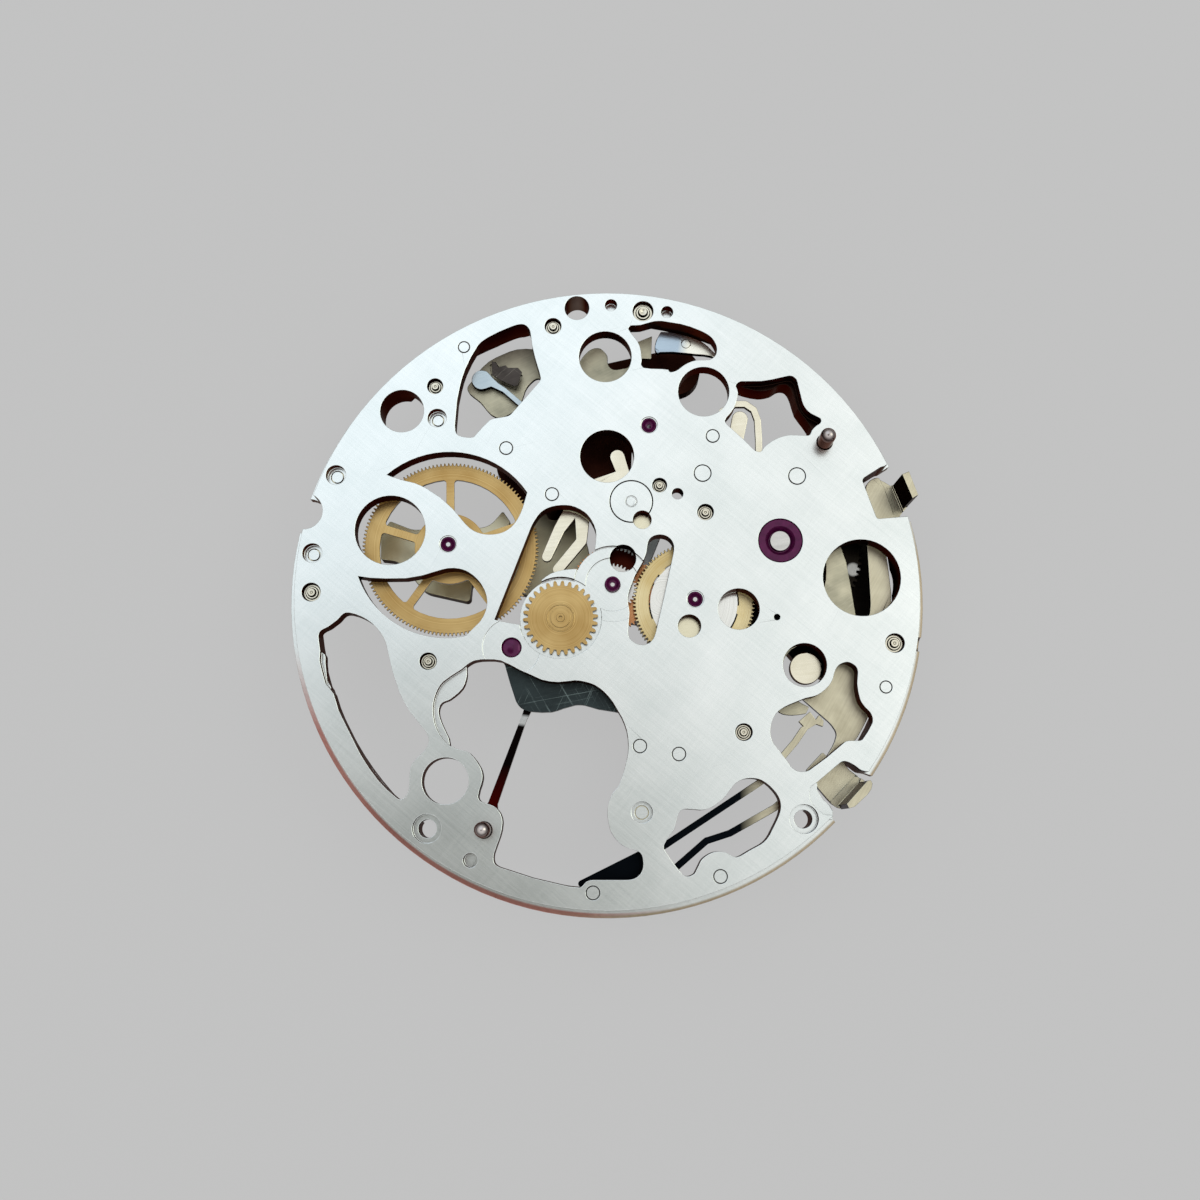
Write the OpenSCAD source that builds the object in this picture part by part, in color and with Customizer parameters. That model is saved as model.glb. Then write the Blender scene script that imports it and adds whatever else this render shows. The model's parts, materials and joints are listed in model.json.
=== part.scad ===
/* [Main plate] */
// Radius of the dial face of the main plate
face_r = 14.6; // [14.5:0.05:14.7]
// Width of the flange that seats in the case ring
flange_w = 0.4; // [0.3:0.05:0.8]
// Thickness of the web that carries the jewels
web_t = 1; // [0.95:0.05:1.1]
// Height of the rim from the dial face to its back
rim_t = 1.9; // [1.8:0.05:2.1]
// Height of the flange at the back of the rim
flange_t = 0.6; // [0.4:0.05:0.7]
// Width of the rim behind the web
rim_w = 0.95; // [0.85:0.05:1]
// Depth of the wheel recesses in the dial face
recess_d = 0.32; // [0.25:0.01:0.36]
// Radius of the winding stem bore
stem_r = 0.35; // [0.3:0.01:0.36]
// Radius of the two dial posts
post_r = 0.36; // [0.3:0.02:0.38]
// Height of the dial posts above the dial face
post_h = 1.5; // [1:0.1:2]

/* [Wheels] */
// Teeth of the counter wheel
counter_n = 138; // [130:1:140]
// Module of the counter wheel's teeth
counter_m = 0.06; // [0.055:0.001:0.061]
// Teeth of the second wheel
second_n = 96; // [92:1:98]
// Teeth of the centre pinion
centre_n = 37; // [34:1:40]
// Radius of the brass wheel on the centre arbor
centre_wheel_r = 2; // [1.8:0.05:2.1]
// Teeth of the small minute wheel on the dial side
minute_n = 30; // [28:1:32]
// Module of the minute wheel's teeth
minute_m = 0.11; // [0.1:0.002:0.112]
// Teeth of the wheel that drives the minute wheel's arbor
minute_drive_n = 60; // [56:1:62]
// Teeth of the barrel
barrel_n = 92; // [88:1:96]
// Leaves of the pinion that the barrel drives
second_pinion_n = 17; // [15:1:20]
// Leaves of the third pinion
third_pinion_n = 10; // [9:1:12]
// Teeth of the third wheel
third_n = 75; // [70:1:80]
// Leaves of the fourth pinion
fourth_pinion_n = 10; // [9:1:12]
// Teeth of the fourth wheel
fourth_n = 80; // [76:1:84]
// Leaves of the escape pinion
escape_pinion_n = 8; // [8:1:10]
// Teeth of the escape wheel
escape_n = 15; // [12:3:15]
// Thickness of a brass wheel
wheel_t = 0.22; // [0.18:0.01:0.24]

/* [Barrel and winding] */
// Height of the barrel drum with its cover
drum_t = 1.5; // [1.3:0.05:1.55]
// Wall of the barrel drum
drum_w = 0.25; // [0.2:0.01:0.3]
// Radius of the barrel arbor at its jewel
arbor_r = 0.46; // [0.4:0.01:0.48]
// Teeth of the ratchet wheel
ratchet_n = 60; // [56:1:62]
// Teeth of the crown wheel
crown_n = 36; // [34:1:38]
// Turns of the mainspring
mainspring_turns = 8; // [6:1:9]

/* [Balance] */
// Outer radius of the balance rim
balance_r = 2.6; // [2.4:0.05:2.7]
// Width of the balance rim
balance_w = 0.3; // [0.25:0.01:0.35]
// Turns of the hairspring
hairspring_turns = 9; // [7:1:11]

/* [Bridges] */
// Thickness of the bridges
bridge_t = 0.9; // [0.85:0.05:1.1]
// Radius of a bridge pillar
pillar_r = 0.44; // [0.38:0.01:0.46]
// Thickness of the steel levers
lever_t = 0.34; // [0.28:0.02:0.38]

/* [Fits] */
// Radial clearance of a pivot in its jewel
pivot_gap = 0.02; // [0.015:0.005:0.03]
// Radius of the pivots that show in the dial face
pivot_r = 0.1; // [0.08:0.01:0.12]
// Radius of the finer pivots of the going train
fine_pivot_r = 0.06; // [0.05:0.01:0.07]
// Clear height between parts that pass each other
pass_gap = 0.12; // [0.1:0.01:0.14]

/* [Hidden] */
$fn = 48;

// A cut runs this far past the face it opens in
over = 0.2;
seat_gap = 0.02;
click_gap = 0.05;
pivot_proud = 0.04;
// Degrees between the points of a rounded corner
arc_step = 9;
// Places and outlines are drawn for a dial face of this radius and grow with it
drawn_r = 14.6;
grow = face_r / drawn_r;
flange_r = face_r + flange_w;
minute_module = minute_m * grow;
counter_module = counter_m * grow;
balance_rim_r = balance_r * grow;

// Heights measured from the dial face, which is at zero before the part is seated
web_z = -web_t;
upper_z = web_z - pass_gap;
centre_wheel_z = upper_z - wheel_t - 0.08;
middle_z = centre_wheel_z - wheel_t - 0.08;
drum_z = middle_z - wheel_t - pass_gap;
third_z = middle_z - wheel_t - 2 * pass_gap;
fourth_z = third_z - wheel_t - pass_gap * 0.8;
escape_z = fourth_z - wheel_t - pass_gap * 0.8;
escape_t = 0.16;
cock_z = escape_z - escape_t - 0.06;
cock_t = 0.2;
balance_z = cock_z - cock_t - 0.1;
balance_t = 0.2;
spring_z = balance_z - balance_t - 0.06;
spring_t = 0.1;
bridge_z = spring_z - spring_t - 0.08;
back_z = bridge_z - bridge_t;
winding_d = 0.32;
winding_t = 0.24;
winding_z = back_z + winding_d - 0.04;
dial_z = -back_z;

// Axis of the winding stem, under the web
stem_z = -1.42;

// Centres in the plane of the plate, +X towards the winding stem
barrel_at = grow * [7.66, 3.66];
second_at = grow * [4.12, 0.28];
centre_at = grow * [0.2, 0.4];
third_at = grow * [5.75, -2.38];
fourth_at = grow * [3.95, -2.98];
escape_at = grow * [2.55, -3.9];
balance_at = grow * [4.82, -5.85];
minute_at = grow * [-1.95, -1.57];
counter_at = grow * [-7.72, 1.05];
crown_at = grow * [11.2, 0.4];
pallet_reach = 1.58 * grow;
pallet_at = escape_at + pallet_reach * unit(balance_at - escape_at);

// Modules that follow from the distance between two centres
function mesh_module(a, b, n_a, n_b) = 2 * norm(b - a) / (n_a + n_b);
second_m = mesh_module(second_at, centre_at, second_n, centre_n);
minute_drive_m = mesh_module(centre_at, minute_at, centre_n, minute_drive_n);
barrel_m = mesh_module(barrel_at, second_at, barrel_n, second_pinion_n);
third_pinion_m = mesh_module(second_at, third_at, second_n, third_pinion_n);
third_m = mesh_module(third_at, fourth_at, third_n, fourth_pinion_n);
fourth_m = mesh_module(fourth_at, escape_at, fourth_n, escape_pinion_n);
winding_m = mesh_module(barrel_at, crown_at, ratchet_n, crown_n);

// Turn of wheel b so that its gaps receive the teeth of wheel a
function bearing(a, b) = atan2(b.y - a.y, b.x - a.x);
function mesh_turn(a, b, turn_a, n_a, n_b) =
    let (phi = bearing(a, b)) phi + 180 - ((turn_a - phi) * n_a + 180) / n_b;
second_turn = 0;
centre_turn = mesh_turn(second_at, centre_at, second_turn, second_n, centre_n);
minute_drive_turn = mesh_turn(centre_at, minute_at, centre_turn, centre_n, minute_drive_n);
second_pinion_turn = 0;
barrel_turn = mesh_turn(second_at, barrel_at, second_pinion_turn, second_pinion_n, barrel_n);
third_pinion_turn = mesh_turn(second_at, third_at, second_turn, second_n, third_pinion_n);
third_turn = 0;
fourth_pinion_turn = mesh_turn(third_at, fourth_at, third_turn, third_n, fourth_pinion_n);
fourth_turn = 0;
escape_pinion_turn = mesh_turn(fourth_at, escape_at, fourth_turn, fourth_n, escape_pinion_n);
escape_turn = bearing(escape_at, balance_at) + 180 / escape_n;
ratchet_turn = 0;
crown_turn = mesh_turn(barrel_at, crown_at, ratchet_turn, ratchet_n, crown_n);

function unit(v) = v / norm(v);
function polar(r, a) = [r * cos(a), r * sin(a)];

// Arc that rounds the corner p between the neighbours a and b
function corner_arc(a, p, b, r) =
    let (u = unit(a - p), v = unit(b - p), half = acos(u * v) / 2,
         centre = p + unit(u + v) * r / sin(half),
         start = p + u * r / tan(half) - centre,
         finish = p + v * r / tan(half) - centre,
         from = atan2(start.y, start.x),
         turn = (atan2(finish.y, finish.x) - from + 540) % 360 - 180,
         steps = max(1, ceil(abs(turn) / arc_step)))
    [for (i = [0:steps]) centre + polar(r, from + turn * i / steps)];

// Outline through drawn corners [x, y, radius]
function rounded(c) =
    let (n = len(c), at = [for (q = c) grow * [q.x, q.y]])
    [for (i = [0:n - 1]) each c[i].z > 0
        ? corner_arc(at[(i + n - 1) % n], at[i], at[(i + 1) % n], c[i].z * grow) : [at[i]]];

// Point of a curve from a to b that leaves along u and arrives along v
function curve_point(a, b, u, v, t) =
    (1 + 2 * t) * (1 - t) ^ 2 * a + t * (1 - t) ^ 2 * u + t ^ 2 * (3 - 2 * t) * b + t ^ 2 * (t - 1) * v;

// Smooth outline through drawn points [x, y]; a third value makes a sharp corner
function flowing(c) =
    let (n = len(c), at = [for (q = c) grow * [q.x, q.y]])
    [for (i = [0:n - 1])
        let (j = (i + 1) % n, a = at[i], b = at[j], chord = unit(b - a),
            u = len(c[i]) > 2 ? chord : unit(b - at[(i + n - 1) % n]),
            v = len(c[j]) > 2 ? chord : unit(at[(i + 2) % n] - a),
            bend = acos(min(1, u * chord)) + acos(min(1, chord * v)),
            steps = max(1, ceil(bend / arc_step)))
        for (k = [0:steps - 1])
            curve_point(a, b, norm(b - a) * u, norm(b - a) * v, k / steps)];

// Outline of a straight bar with round ends of radius ra and rb
function bar_outline(a, ra, b, rb) =
    let (phi = bearing(a, b), beta = acos((ra - rb) / norm(b - a)), n = 16)
    concat([for (i = [0:n]) a + polar(ra, phi + beta + (360 - 2 * beta) * i / n)],
        [for (i = [0:n]) b + polar(rb, phi - beta + 2 * beta * i / n)]);

// Stop of a chain of bars at a place that is already worked out
function stop(p, r) = [p.x, p.y, r * grow];

// Bars [x, y, radius] that follow one another
module chain(stops) {
    for (i = [0:len(stops) - 2])
        polygon(bar_outline([stops[i].x, stops[i].y], stops[i].z,
            [stops[i + 1].x, stops[i + 1].y], stops[i + 1].z));
}

// Strip of width w along drawn points
module strip(points, w) {
    chain([for (p = points) [p.x * grow, p.y * grow, w / 2]]);
}

// Solid between two heights measured from the dial face
module slab(top, t) {
    translate([0, 0, top - t]) linear_extrude(t) children();
}

module at(p) {
    translate([p.x, p.y, 0]) children();
}

module seated() {
    translate([0, 0, dial_z]) children();
}

module rod(r, top, bottom) {
    translate([0, 0, bottom]) cylinder(r = r, h = top - bottom);
}

// A rod that narrows towards its foot
module taper(r, foot_r, top, bottom) {
    translate([0, 0, bottom]) cylinder(r1 = foot_r, r2 = r, h = top - bottom);
}

module tube(r, inner_r, top, bottom) {
    difference() {
        rod(r, top, bottom);
        rod(inner_r, top + over, bottom - over);
    }
}

// Flanks of a tooth: [height over the pitch circle in modules, share of the pitch]
plain_tooth = [[-1.15, -0.3], [0.95, -0.12], [0.95, 0.12], [-1.15, 0.3]];
round_tooth = [[-1.15, -0.33], [-0.85, -0.29], [0.1, -0.24], [0.7, -0.16], [0.95, -0.06],
    [0.95, 0.06], [0.7, 0.16], [0.1, 0.24], [-0.85, 0.29], [-1.15, 0.33]];

function gear_outline(n, m, turn, tooth) =
    [for (i = [0:n - 1]) for (k = tooth)
        polar(n * m / 2 + k[0] * m, turn + (i + k[1]) * 360 / n)];

module gear(n, m, turn, tooth = plain_tooth) {
    polygon(gear_outline(n, m, turn, tooth));
}

// Openings between the spokes of a wheel
module spoke_gaps(count, hub_r, inner_r, w, turn) {
    difference() {
        circle(inner_r);
        circle(hub_r);
        for (i = [0:count - 1])
            rotate(turn + i * 360 / count) translate([0, -w / 2]) square([inner_r + over, w]);
    }
}

// Windows of the main plate
corner_window = [[-8.12, 6.31], [-8.33, 6.53], [-8.41, 6.99], [-8.5, 8.02], [-8.48, 8.76],
    [-8.38, 9.59], [-7.98, 10.85], [-7.57, 11.32], [-7.1, 11.68], [-6.54, 12.04], [-6.17, 12.21],
    [-5.91, 12.21], [-5.68, 12.03], [-5.56, 11.74], [-5.42, 11.26], [-5.19, 10.7],
    [-4.99, 10.27], [-4.75, 9.73], [-4.79, 9.5], [-5.82, 7.77], [-6.01, 7.6], [-6.51, 7.43],
    [-6.81, 7.27], [-7.28, 6.56], [-7.47, 6.32]];
right_window = [[4.53, 10.78], [4.56, 10.9], [4.75, 11.05], [5.7, 11.21], [6.16, 11.36],
    [6.55, 11.52], [6.95, 11.68], [7.18, 11.67], [7.35, 11.54], [7.44, 11.34], [7.76, 10.52],
    [7.95, 10.22], [8.24, 10], [8.7, 9.84], [8.78, 9.72], [8.74, 9.58], [8.57, 9.42],
    [8.42, 9.2], [8.36, 8.99], [8.26, 8.9], [7.44, 8.8], [7.01, 8.64], [6.63, 8.38], [6.3, 8.03],
    [6.16, 7.78], [5.99, 7.75], [5.82, 7.81], [5.27, 8.23], [4.4, 8.82], [4.26, 9.04],
    [4.47, 9.43], [4.6, 9.72], [4.66, 10.03], [4.67, 10.47], [4.6, 10.66]];
top_window = [[-0.97, 12.78], [-0.92, 12.95], [-0.82, 13], [-0.43, 13.08], [0.03, 13.3],
    [0.24, 13.38], [0.57, 13.44], [1.47, 13.43], [1.93, 13.37], [2.44, 13.25], [2.79, 13.13],
    [3.07, 12.96], [3.29, 12.68], [3.37, 12.45], [3.36, 12.18], [3.24, 11.99], [3.07, 11.87],
    [2.46, 11.75], [2.12, 11.57], [1.9, 11.39], [1.7, 11.17], [1.52, 11.04], [1.32, 10.98],
    [1.2, 11.08], [0.7, 11.04], [0.07, 10.99], [-0.1, 11.13], [-0.11, 11.37], [-0.22, 11.8],
    [-0.35, 12.1], [-0.54, 12.34]];
upper_crescent = [[-11.6, 4, 0], [-10.96, 3.84], [-10.4, 3.75], [-9.8, 3.7], [-9.16, 3.52],
    [-8.47, 3.2], [-7.8, 2.76], [-7.3, 2.32], [-6.87, 1.98], [-6.43, 1.81], [-5.9, 1.8],
    [-5.34, 1.97], [-4.95, 2.29], [-4.7, 2.74], [-4.55, 3.3], [-4.4, 4.6, 0], [-6, 7, 0],
    [-11, 7, 0]];
lower_crescent = [[-12.3, -1.1, 0], [-11.66, -1.12], [-11.04, -1.11], [-10.31, -1.03],
    [-9.38, -0.87], [-8.67, -0.63], [-8.06, -0.33], [-7.51, -0.09], [-7, -0.03], [-6.54, -0.12],
    [-6.05, -0.41], [-5.68, -0.81], [-5.46, -1.3], [-5.44, -1.82], [-5.63, -2.37],
    [-5.99, -2.87], [-6.5, -3.6, 0], [-9, -5, 0], [-12.5, -4, 0]];
crescent_r = 4.45 * grow;
// No window reaches past this radius
window_limit_r = face_r - 0.9;
side_window = [[-11.94, -2.96], [-11.65, -2.88], [-11.1, -2.97], [-10.58, -3.19],
    [-10.11, -3.56], [-9.77, -3.98], [-9.53, -4.55], [-9.23, -5.24], [-8.73, -6.17], [-8.08, -7],
    [-7.24, -7.73], [-7, -8.16], [-7.12, -8.64], [-7.43, -9.08], [-7.62, -9.51], [-7.51, -10.41],
    [-7.57, -10.75], [-7.76, -10.97], [-8.03, -10.92], [-8.94, -10.31], [-10, -9.23],
    [-11.33, -7.45], [-11.71, -6.71], [-12.23, -6.25], [-12.5, -5.89], [-12.63, -5.38],
    [-12.69, -4.85], [-12.9, -4.2], [-12.84, -3.92], [-12.52, -3.67], [-12.18, -3.31]];
main_window = [[-4.35, -3.98], [-3.4, -4.28], [-2.34, -4.57], [-1.56, -4.56], [-0.81, -4.36],
    [-0.35, -4.35], [0.13, -4.43], [0.64, -4.7], [1.09, -5.1], [1.57, -5.68], [1.9, -6.25],
    [2.09, -6.92], [2.12, -7.6], [1.94, -8.78], [1.7, -9.2], [1.58, -9.91], [1.83, -10.78],
    [2.21, -11.25], [2.71, -11.51], [3.34, -11.63], [3.55, -12.01], [3.55, -12.47],
    [3.29, -12.81], [2.86, -12.95], [1.45, -13.17], [1.16, -13.29], [0.89, -13.6],
    [-0.08, -13.6], [-1.24, -13.52], [-2.81, -13.28], [-3.11, -13.11], [-3.18, -12.7],
    [-3.04, -11.93], [-3.03, -11.32], [-3.21, -10.89], [-3.57, -10.61], [-4.17, -10.5],
    [-4.34, -10.27], [-4.27, -9.46], [-4.47, -8.96], [-5.07, -8.4], [-5.43, -8.35],
    [-5.99, -8.23], [-6.53, -7.82], [-6.9, -7.26], [-7.08, -6.59], [-7.05, -5.96],
    [-6.81, -5.37], [-6.07, -4.67], [-5.84, -4.4], [-5.53, -4.17], [-5.01, -4.03]];
lever_window = [[11.12, -1.76], [11.46, -1.55], [11.72, -1.58], [11.95, -1.72], [12.05, -1.97],
    [12.08, -2.48], [12.31, -3.18], [12.59, -3.5], [12.84, -3.69], [12.98, -3.93],
    [12.99, -4.21], [12.67, -4.96], [12.53, -5.06], [12.08, -5.13], [11.86, -5.24],
    [11.12, -6.08], [10.44, -6.75], [10.2, -6.86], [9.9, -6.88], [9.6, -6.75], [9.33, -6.46],
    [8.62, -5.78], [8.43, -5.35], [8.42, -4.93], [8.52, -4.53], [8.74, -4.21], [9.13, -3.91],
    [9.8, -3.51], [10.19, -3.36], [10.48, -3.16], [10.79, -2.79], [10.93, -2.46], [10.98, -2.08]];
spring_window = [[4.41, -11.33], [4.38, -11.11], [4.57, -10.64], [4.73, -10.33], [4.79, -9.72],
    [4.89, -9.49], [5.11, -9.37], [5.82, -9.31], [6.12, -9.2], [6.36, -9.03], [6.63, -8.76],
    [6.82, -8.5], [7.16, -7.9], [7.47, -7.65], [7.83, -7.53], [8.22, -7.52], [8.58, -7.65],
    [8.92, -7.88], [9.19, -8.15], [9.34, -8.46], [9.37, -8.8], [9.29, -9.19], [9.05, -9.91],
    [8.9, -10.2], [8.7, -10.42], [8.25, -10.76], [7.91, -11.04], [7.7, -11.15], [7.5, -11.14],
    [7.22, -11.03], [6.91, -11.02], [6.59, -11.12], [6.31, -11.33], [6.12, -11.58],
    [5.94, -12.14], [5.77, -12.3], [5.59, -12.35], [5.35, -12.27]];
train_window = [[-4.97, -2.16, 0], [-4, 2.47], [-3.88, 2.82], [-3.7, 3.18], [-3.39, 3.48],
    [-3, 3.66], [-2.54, 3.76], [-2.12, 3.74], [-1.61, 3.55], [-1.26, 3.24], [-0.98, 2.79],
    [-0.9, 2.38], [-0.88, 1.96], [-0.8, 0.9, 0], [-1.43, 0.84], [-2.1, 0.7], [-2.72, 0.42],
    [-3.1, 0.05, 0], [-3.2, -2.2, 0]];
// How far a window reaches into a recess beside it
recess_lip = 0.03;
slot_window = [[1.53, 2.59], [1.64, 2.84], [1.86, 3], [2.13, 3.06], [2.41, 3.01], [2.64, 2.84],
    [2.77, 2.58], [2.79, 2.23], [2.76, 1.66], [2.67, 0.18], [2.57, -1.21], [2.54, -1.55],
    [2.48, -1.86], [2.3, -2.12], [2.04, -2.24], [1.76, -2.23], [1.5, -2.12], [1.34, -1.97],
    [1.26, -1.75], [1.23, -1.4], [1.19, -0.81], [1.07, -0.42], [1, -0.12], [1.03, 0.34],
    [1.17, 0.99], [1.46, 1.75], [1.53, 2.1]];
upper_notch = [[13.5, 9.3, 0], [12.05, 8.0], [11.85, 7.9], [11.17, 7.3], [11.1, 7.1],
    [11.95, 5.5], [12.12, 5.42], [15.6, 6.3, 0], [16, 9, 0]];
lower_notch = [[15.6, -6.9, 0], [13.19, -6.41], [12.81, -6.4], [12.42, -6.2], [12, -6.09],
    [11.76, -6.21], [10.87, -7.22], [10.6, -7.51], [10.6, -7.87], [10.74, -8.21],
    [11.35, -8.62], [11.76, -8.6, 0], [13.6, -9.9, 0]];
// Steps left standing lower down at the sides of windows
main_ledge = [[-5.4, -3.9], [-5.88, -4.36], [-5.82, -4.94], [-5.92, -5.51], [-6.4, -6.1],
    [-6.75, -6.34], [-6.82, -6.75], [-6.59, -7.25], [-6.03, -8.22], [-6.5, -8.3], [-7.5, -7.2],
    [-7.5, -5.6], [-6.4, -4.4]];
side_ledge = [[-12.6, -4.9], [-12.4, -5.4], [-12.19, -6.11], [-11.93, -6.5], [-12.2, -6.7],
    [-12.9, -5.9], [-12.95, -5.2]];
notch_ledge = [[10.85, -7.2], [11, -7.62], [11.3, -7.95], [11.6, -8.15], [11.8, -8.4, 0],
    [11.85, -8.8, 0], [11.2, -8.8], [10.5, -8.3], [10.4, -7.5]];
right_ledge = [[4.5, 11.1, 0], [5.05, 11], [5.75, 10.97], [6.3, 11.15], [6.68, 11.45],
    [7.05, 11.45], [7.35, 11.05], [7.66, 10.38], [8.12, 9.9], [8.45, 9.45], [8.4, 8.95],
    [8.6, 8.8, 0], [9, 9.7], [8, 10.5], [7.6, 11.6], [7, 11.95], [5.7, 11.5], [4.4, 11.25, 0]];
window_ledge_d = 0.35;
notch_ledge_d = 0.5;
right_ledge_t = 1.4;

// Round holes through the web: [x, y, radius]
through_holes = grow * [[-3.59, 13.45, 0.59], [-11, 7.07, 1.04], [-10.52, 1.28, 1.66],
    [-1.86, 11.25, 1.26], [-1.01, 6.41, 1.28], [3.05, 10.27, 1.22], [11.66, 2.5, 1.82],
    [6.19, 0.13, 0.97], [9.58, -1.99, 1.02], [4.04, -1.02, 0.54], [1.11, 3.62, 0.43],
    [2.56, 5.13, 0.27], [0.49, 1.69, 0.62], [-5.93, -9.84, 1.07], [8, 0.03, 0.15],
    [-14.69, 1.55, 0.87]];
// Holes of the dial feet, with a wide mouth: [x, y]
dial_feet = grow * [[-6.39, -12.09], [10.49, -8.98]];
dial_foot_r = 0.42;
dial_foot_mouth_r = 0.66;
// Blind holes: [x, y, radius]
blind_holes = grow * [[-1.99, 13.85, 0.29], [0.73, 13.93, 0.29], [-4.19, -13.18, 0.33]];
blind_d = 0.6;
// Depth below the dial face at which the hidden pivot holes end
blind_pivot_z = 0.4;
// Steel pins that end flush with the dial face: [x, y, radius]
pins = grow * [[-8.63, 10.66, 0.29], [-5.8, 6.05, 0.33], [3.79, 8.17, 0.33], [3.58, 6.3, 0.42],
    [8.01, 6.86, 0.42], [13.41, -2.42, 0.3], [2.61, -6.88, 0.33], [4.43, -6.96, 0.33],
    [7.1, -12.12, 0.33], [1.52, -13.74, 0.33], [-3.29, 4.18, 0.33]];
// Pins that end deeper, at the bottom of a wider mouth: [x, y, radius]
sunk_pins = grow * [[-9.29, 6.99, 0.29], [-13.53, 3.5, 0.31], [-13.93, -0.37, 0.3],
    [3.16, -9.84, 0.33]];
// Pins that fill a round hole only at its bottom
deep_pins = grow * [[4.04, -1.02, 0.54], [1.11, 3.62, 0.43]];
sunk_d = 0.45;
deep_d = 0.7;
plug_gap = 0.02;
mouth_w = 0.16;
pin_groove = 0.05;
pin_groove_d = 0.15;
// Threaded tubes pressed into the web: [x, y, outer radius]
tubes = grow * [[-0.42, 13.79, 0.5], [-9.66, 8.53, 0.38], [1.66, 5.41, 0.35], [3.99, 4.46, 0.39],
    [13.57, -0.32, 0.45], [7.23, -5.5, 0.4], [-7.67, -4.54, 0.4], [-13.63, -2.2, 0.44],
    [-4.58, 12.37, 0.4]];
tube_bore = 0.66;
tube_sink_d = 0.3;
screw_end_gap = 0.02;
// Length of a tube from the dial face
tube_t = 0.95;
// Jewels of the train, all alike
jewel_r = 0.36;
jewel_sink_r = 0.41;
jewels = [second_at, centre_at, [0.72, 8.23], counter_at];
barrel_jewel_r = 1.05 * grow;
end_jewel_at = grow * [-3.97, -3.3];
end_jewel_r = 0.47;
stud_at = grow * [0.46, 4.42];
stud_r = 1.03 * grow;
post_foot_r = post_r - 0.06;
post_mouth_r = post_r + 0.04;
post_collar = 0.06;
posts = grow * [[9.08, 8.7], [-3.81, -11.75]];

// Wheel recesses of the dial face
minute_recess_r = 1.93 * grow;
centre_recess_r = 1.27 * grow;
centre_ledge_r = 1.8 * grow;
jewel_pocket_r = 1.35 * grow;
jewel_pocket_d = 0.06;
ledge_d = 0.2;

module window(points) {
    slab(over, rim_t + 2 * over) intersection() {
        polygon(flowing(points));
        circle(window_limit_r, $fn = 144);
    }
}

// A window beside the counter wheel, whose outer side follows a circle
module crescent(points) {
    slab(over, rim_t + 2 * over) intersection() {
        polygon(flowing(points));
        translate(counter_at) circle(crescent_r, $fn = 144);
    }
}

module notch(points) {
    slab(over, rim_t + 2 * over) polygon(flowing(points));
}

function in_rim(p) = norm([p.x, p.y]) > face_r - rim_w;

module plate_windows() {
    for (w = [corner_window, right_window, top_window, side_window, main_window, lever_window,
        spring_window])
        window(w);
    for (w = [upper_notch, lower_notch])
        notch(w);
    for (w = [upper_crescent, lower_crescent])
        crescent(w);
    slab(over, rim_t + 2 * over) polygon(flowing(slot_window));
    slab(over, rim_t + 2 * over) difference() {
        polygon(flowing(train_window));
        translate(centre_at) circle(centre_ledge_r - recess_lip);
        translate(minute_at) circle(minute_recess_r - recess_lip);
    }
}

module plate_holes() {
    for (h = through_holes)
        at(h) rod(h.z, over, -rim_t - over);
    for (f = dial_feet)
        at(f) {
            rod(dial_foot_r, over, -rim_t - over);
            rod(dial_foot_mouth_r, over, -0.35);
        }
    for (h = blind_holes)
        at(h) rod(h.z, over, -blind_d);
    for (p = concat(pins, sunk_pins))
        at(p) rod(p.z, over, -rim_t - over);
    for (p = sunk_pins)
        at(p) rod(p.z + mouth_w, over, -sunk_d);
    for (p = tubes)
        at(p) {
            rod(p.z, over, -tube_t);
            rod(p.z * tube_bore, over, in_rim(p) ? -tube_t : -web_t - over);
        }
    for (j = jewels)
        at(j) {
            rod(jewel_r, over, web_z - over);
            rod(jewel_sink_r, over, -0.08);
        }
    at(barrel_at) rod(barrel_jewel_r, over, web_z - over);
    at(end_jewel_at) rod(end_jewel_r, over, web_z - over);
    at(stud_at) rod(stud_r, over, web_z - over);
    for (p = posts)
        at(p) {
            taper(post_mouth_r, post_foot_r, over, web_z);
            rod(post_foot_r, web_z + post_collar, -rim_t - over);
        }
    at(minute_at) rod(pivot_r + pivot_gap, over, web_z - over);
    for (c = [third_at, fourth_at, escape_at, pallet_at, balance_at])
        at(c) rod(fine_pivot_r + pivot_gap, -blind_pivot_z, web_z - over);
}

module dial_recesses() {
    at(minute_at) rod(minute_recess_r, over, -recess_d);
    at(centre_at) {
        rod(centre_recess_r, over, -recess_d);
        rod(centre_ledge_r, over, -ledge_d);
    }
    at(end_jewel_at) rod(jewel_pocket_r, over, -jewel_pocket_d);
}

module stem_bore() {
    translate([face_r - rim_w - over, 0, stem_z]) rotate([0, 90, 0])
        cylinder(r = stem_r, h = rim_w + flange_r - face_r + 2 * over);
}

// The web, its rim and the seating flange
module plate_body() {
    rod(face_r, 0, -rim_t, $fn = 180);
    rod(flange_r, -rim_t + flange_t, -rim_t, $fn = 180);
}

// What is left standing lower down at the side of a window
module window_ledge(points, depth = window_ledge_d, t = web_t - window_ledge_d) {
    slab(-depth, t) polygon(flowing(points));
}

module main_plate() {
    color("gainsboro") seated() {
        difference() {
            plate_body();
            rod(face_r - rim_w, web_z, -rim_t - over, $fn = 180);
            plate_windows();
            plate_holes();
            dial_recesses();
            stem_bore();
        }
        window_ledge(main_ledge);
        window_ledge(side_ledge);
        window_ledge(notch_ledge, notch_ledge_d, web_t - notch_ledge_d);
        window_ledge(right_ledge, web_t - over, right_ledge_t);
    }
}

module pierced_jewel(r, bore) {
    tube(r, bore, -0.08, web_z);
}

module train_jewels() {
    color("purple") seated()
        for (j = jewels) at(j) pierced_jewel(jewel_r, pivot_r + pivot_gap);
}

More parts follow.
